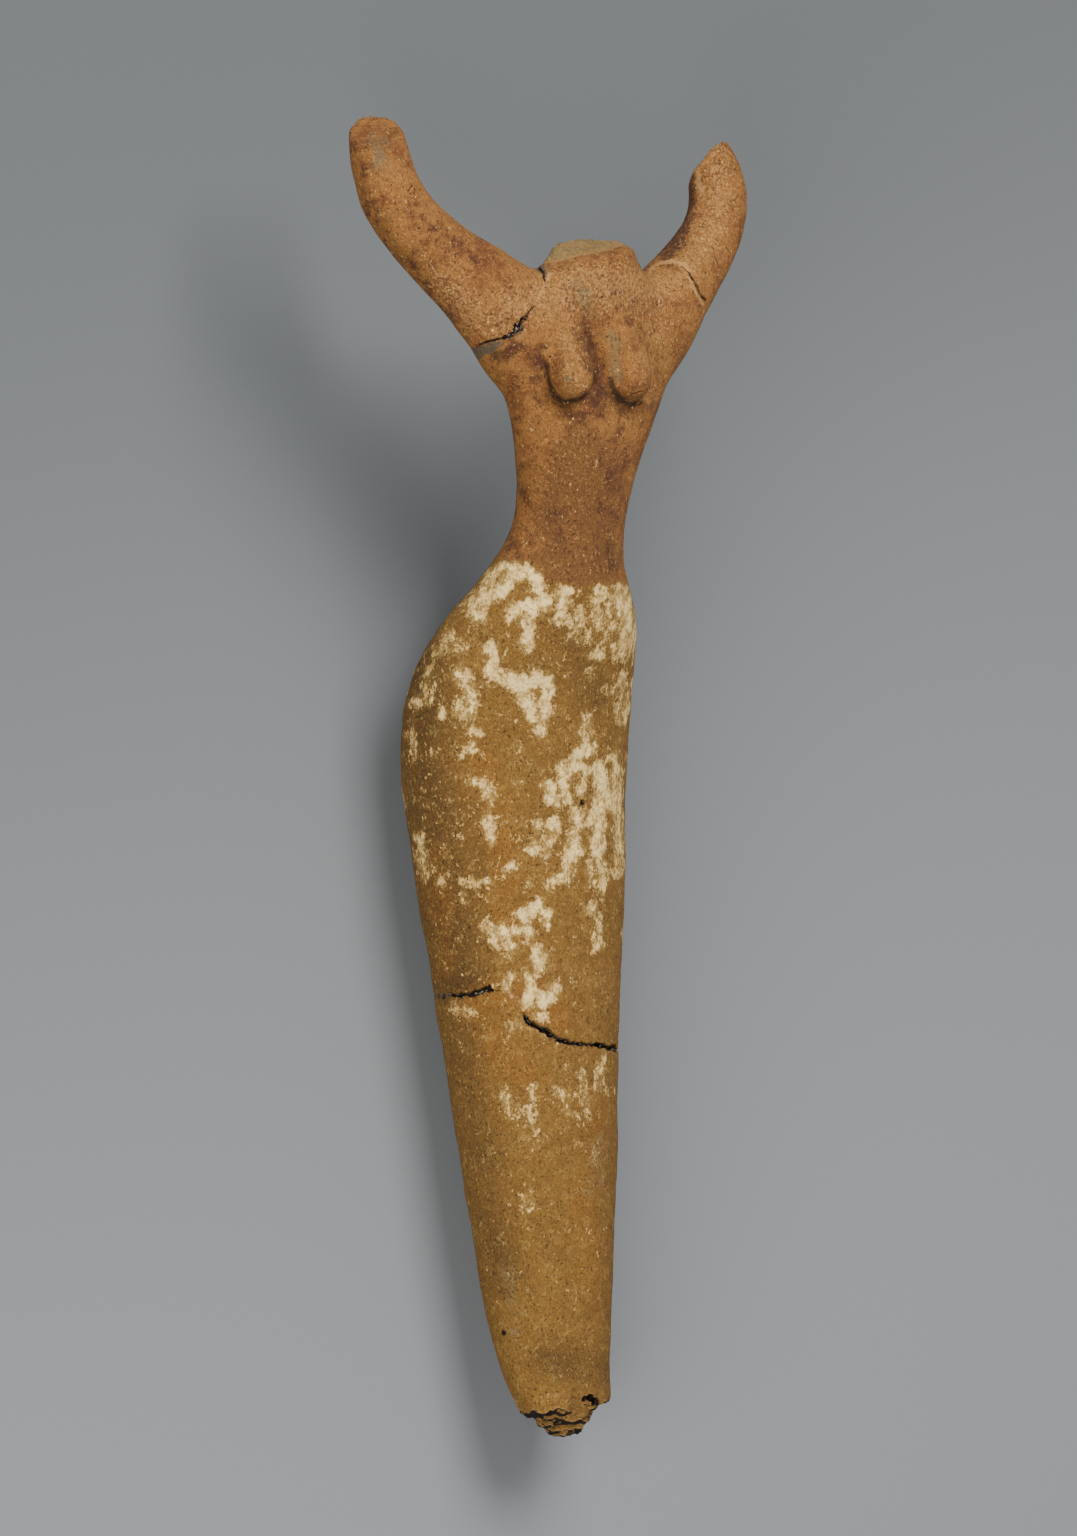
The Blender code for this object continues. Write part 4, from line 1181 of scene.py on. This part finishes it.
surface = crack_mask.blend(surface, crumbs.step(0.55, 0.95).blend(DIRT, RUST))
glints = pattern(0.9 * MM, 2, shift=12.0).step(0.68, 0.80) * layer("glue") * 0.85
surface = glints.blend(surface, GLINT)
tree.links.new(surface.socket, shader.inputs["Base Color"])
print("nodes:", len(tree.nodes))

# %% [markdown]
# ### Roughness and bump
#
# Fired clay is dull, so its roughness is high and hardly varies. Grain that is smaller than the
# faces is a bump: it only changes how the light falls, and it costs no triangles. Displacement in
# the material would need far more faces, and it is lost when the figure is exported.

# %% Roughness and bump
BUMP_DEPTH = 0.27 * MM

roughness = 0.80 + 0.10 * grain + 0.06 * painted
tree.links.new(roughness.socket, shader.inputs["Roughness"])
relief = grain * 0.9 + fine * 0.45 + patchy * 0.5 + painted * 0.5
relief = relief - pinholes.step(0.74, 0.90) * 0.8
relief = relief + broken_mask * pattern(0.9 * MM, 4, shift=11.0) * 1.6
bump = w.node("Bump", {}, {"Height": relief, "Strength": 0.9, "Distance": BUMP_DEPTH})
tree.links.new(bump.socket, shader.inputs["Normal"])
shader.inputs["Specular IOR Level"].default_value = 0.28
skin.data.materials.clear()
skin.data.materials.append(clay)
print("material slots:", len(skin.data.materials))

# %% [markdown]
# ### The floor's paper
#
# The figure lies on grey paper whose colour is painted lighter towards the foot and the right: a
# painted fall-off of light. A slow gradient and a faint noise for the paper's tooth are enough. A
# light placed to make the same gradient would change the figure's shading as well.

# %% The floor's paper
paper = bpy.data.materials.new("grey_paper")
paper.use_nodes = True
p = Wire(paper.node_tree)
spot = p.node("TexCoord", {}, {}, "Object")
tooth = p.node("TexNoise", {}, {"Vector": spot, "Scale": 900.0, "Detail": 2.0})
slope = p.node("SeparateXYZ", {}, {"Vector": spot}, "Y")
slope = slope - 0.26 * p.node("SeparateXYZ", {}, {"Vector": spot}, "X")
# Painted shade far off, and painted light towards the foot and the right
paper_in_painted_shade = tooth.blend(colour(74, 76, 77), colour(77, 80, 81))
paper_in_painted_light = tooth.blend(colour(115, 116, 117), colour(118, 120, 121))
paper_with_painted_falloff = slope.step(-0.24, 0.26).blend(paper_in_painted_light, paper_in_painted_shade)
paper_shader = paper.node_tree.nodes["Principled BSDF"]
paper.node_tree.links.new(paper_with_painted_falloff.socket, paper_shader.inputs["Base Color"])
paper_shader.inputs["Roughness"].default_value = 0.9
floor.data.materials.append(paper)
print("floor:", floor.name)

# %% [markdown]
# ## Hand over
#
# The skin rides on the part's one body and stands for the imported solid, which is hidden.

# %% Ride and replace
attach(skin, "root")
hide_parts("female_figure")
deselect_all()
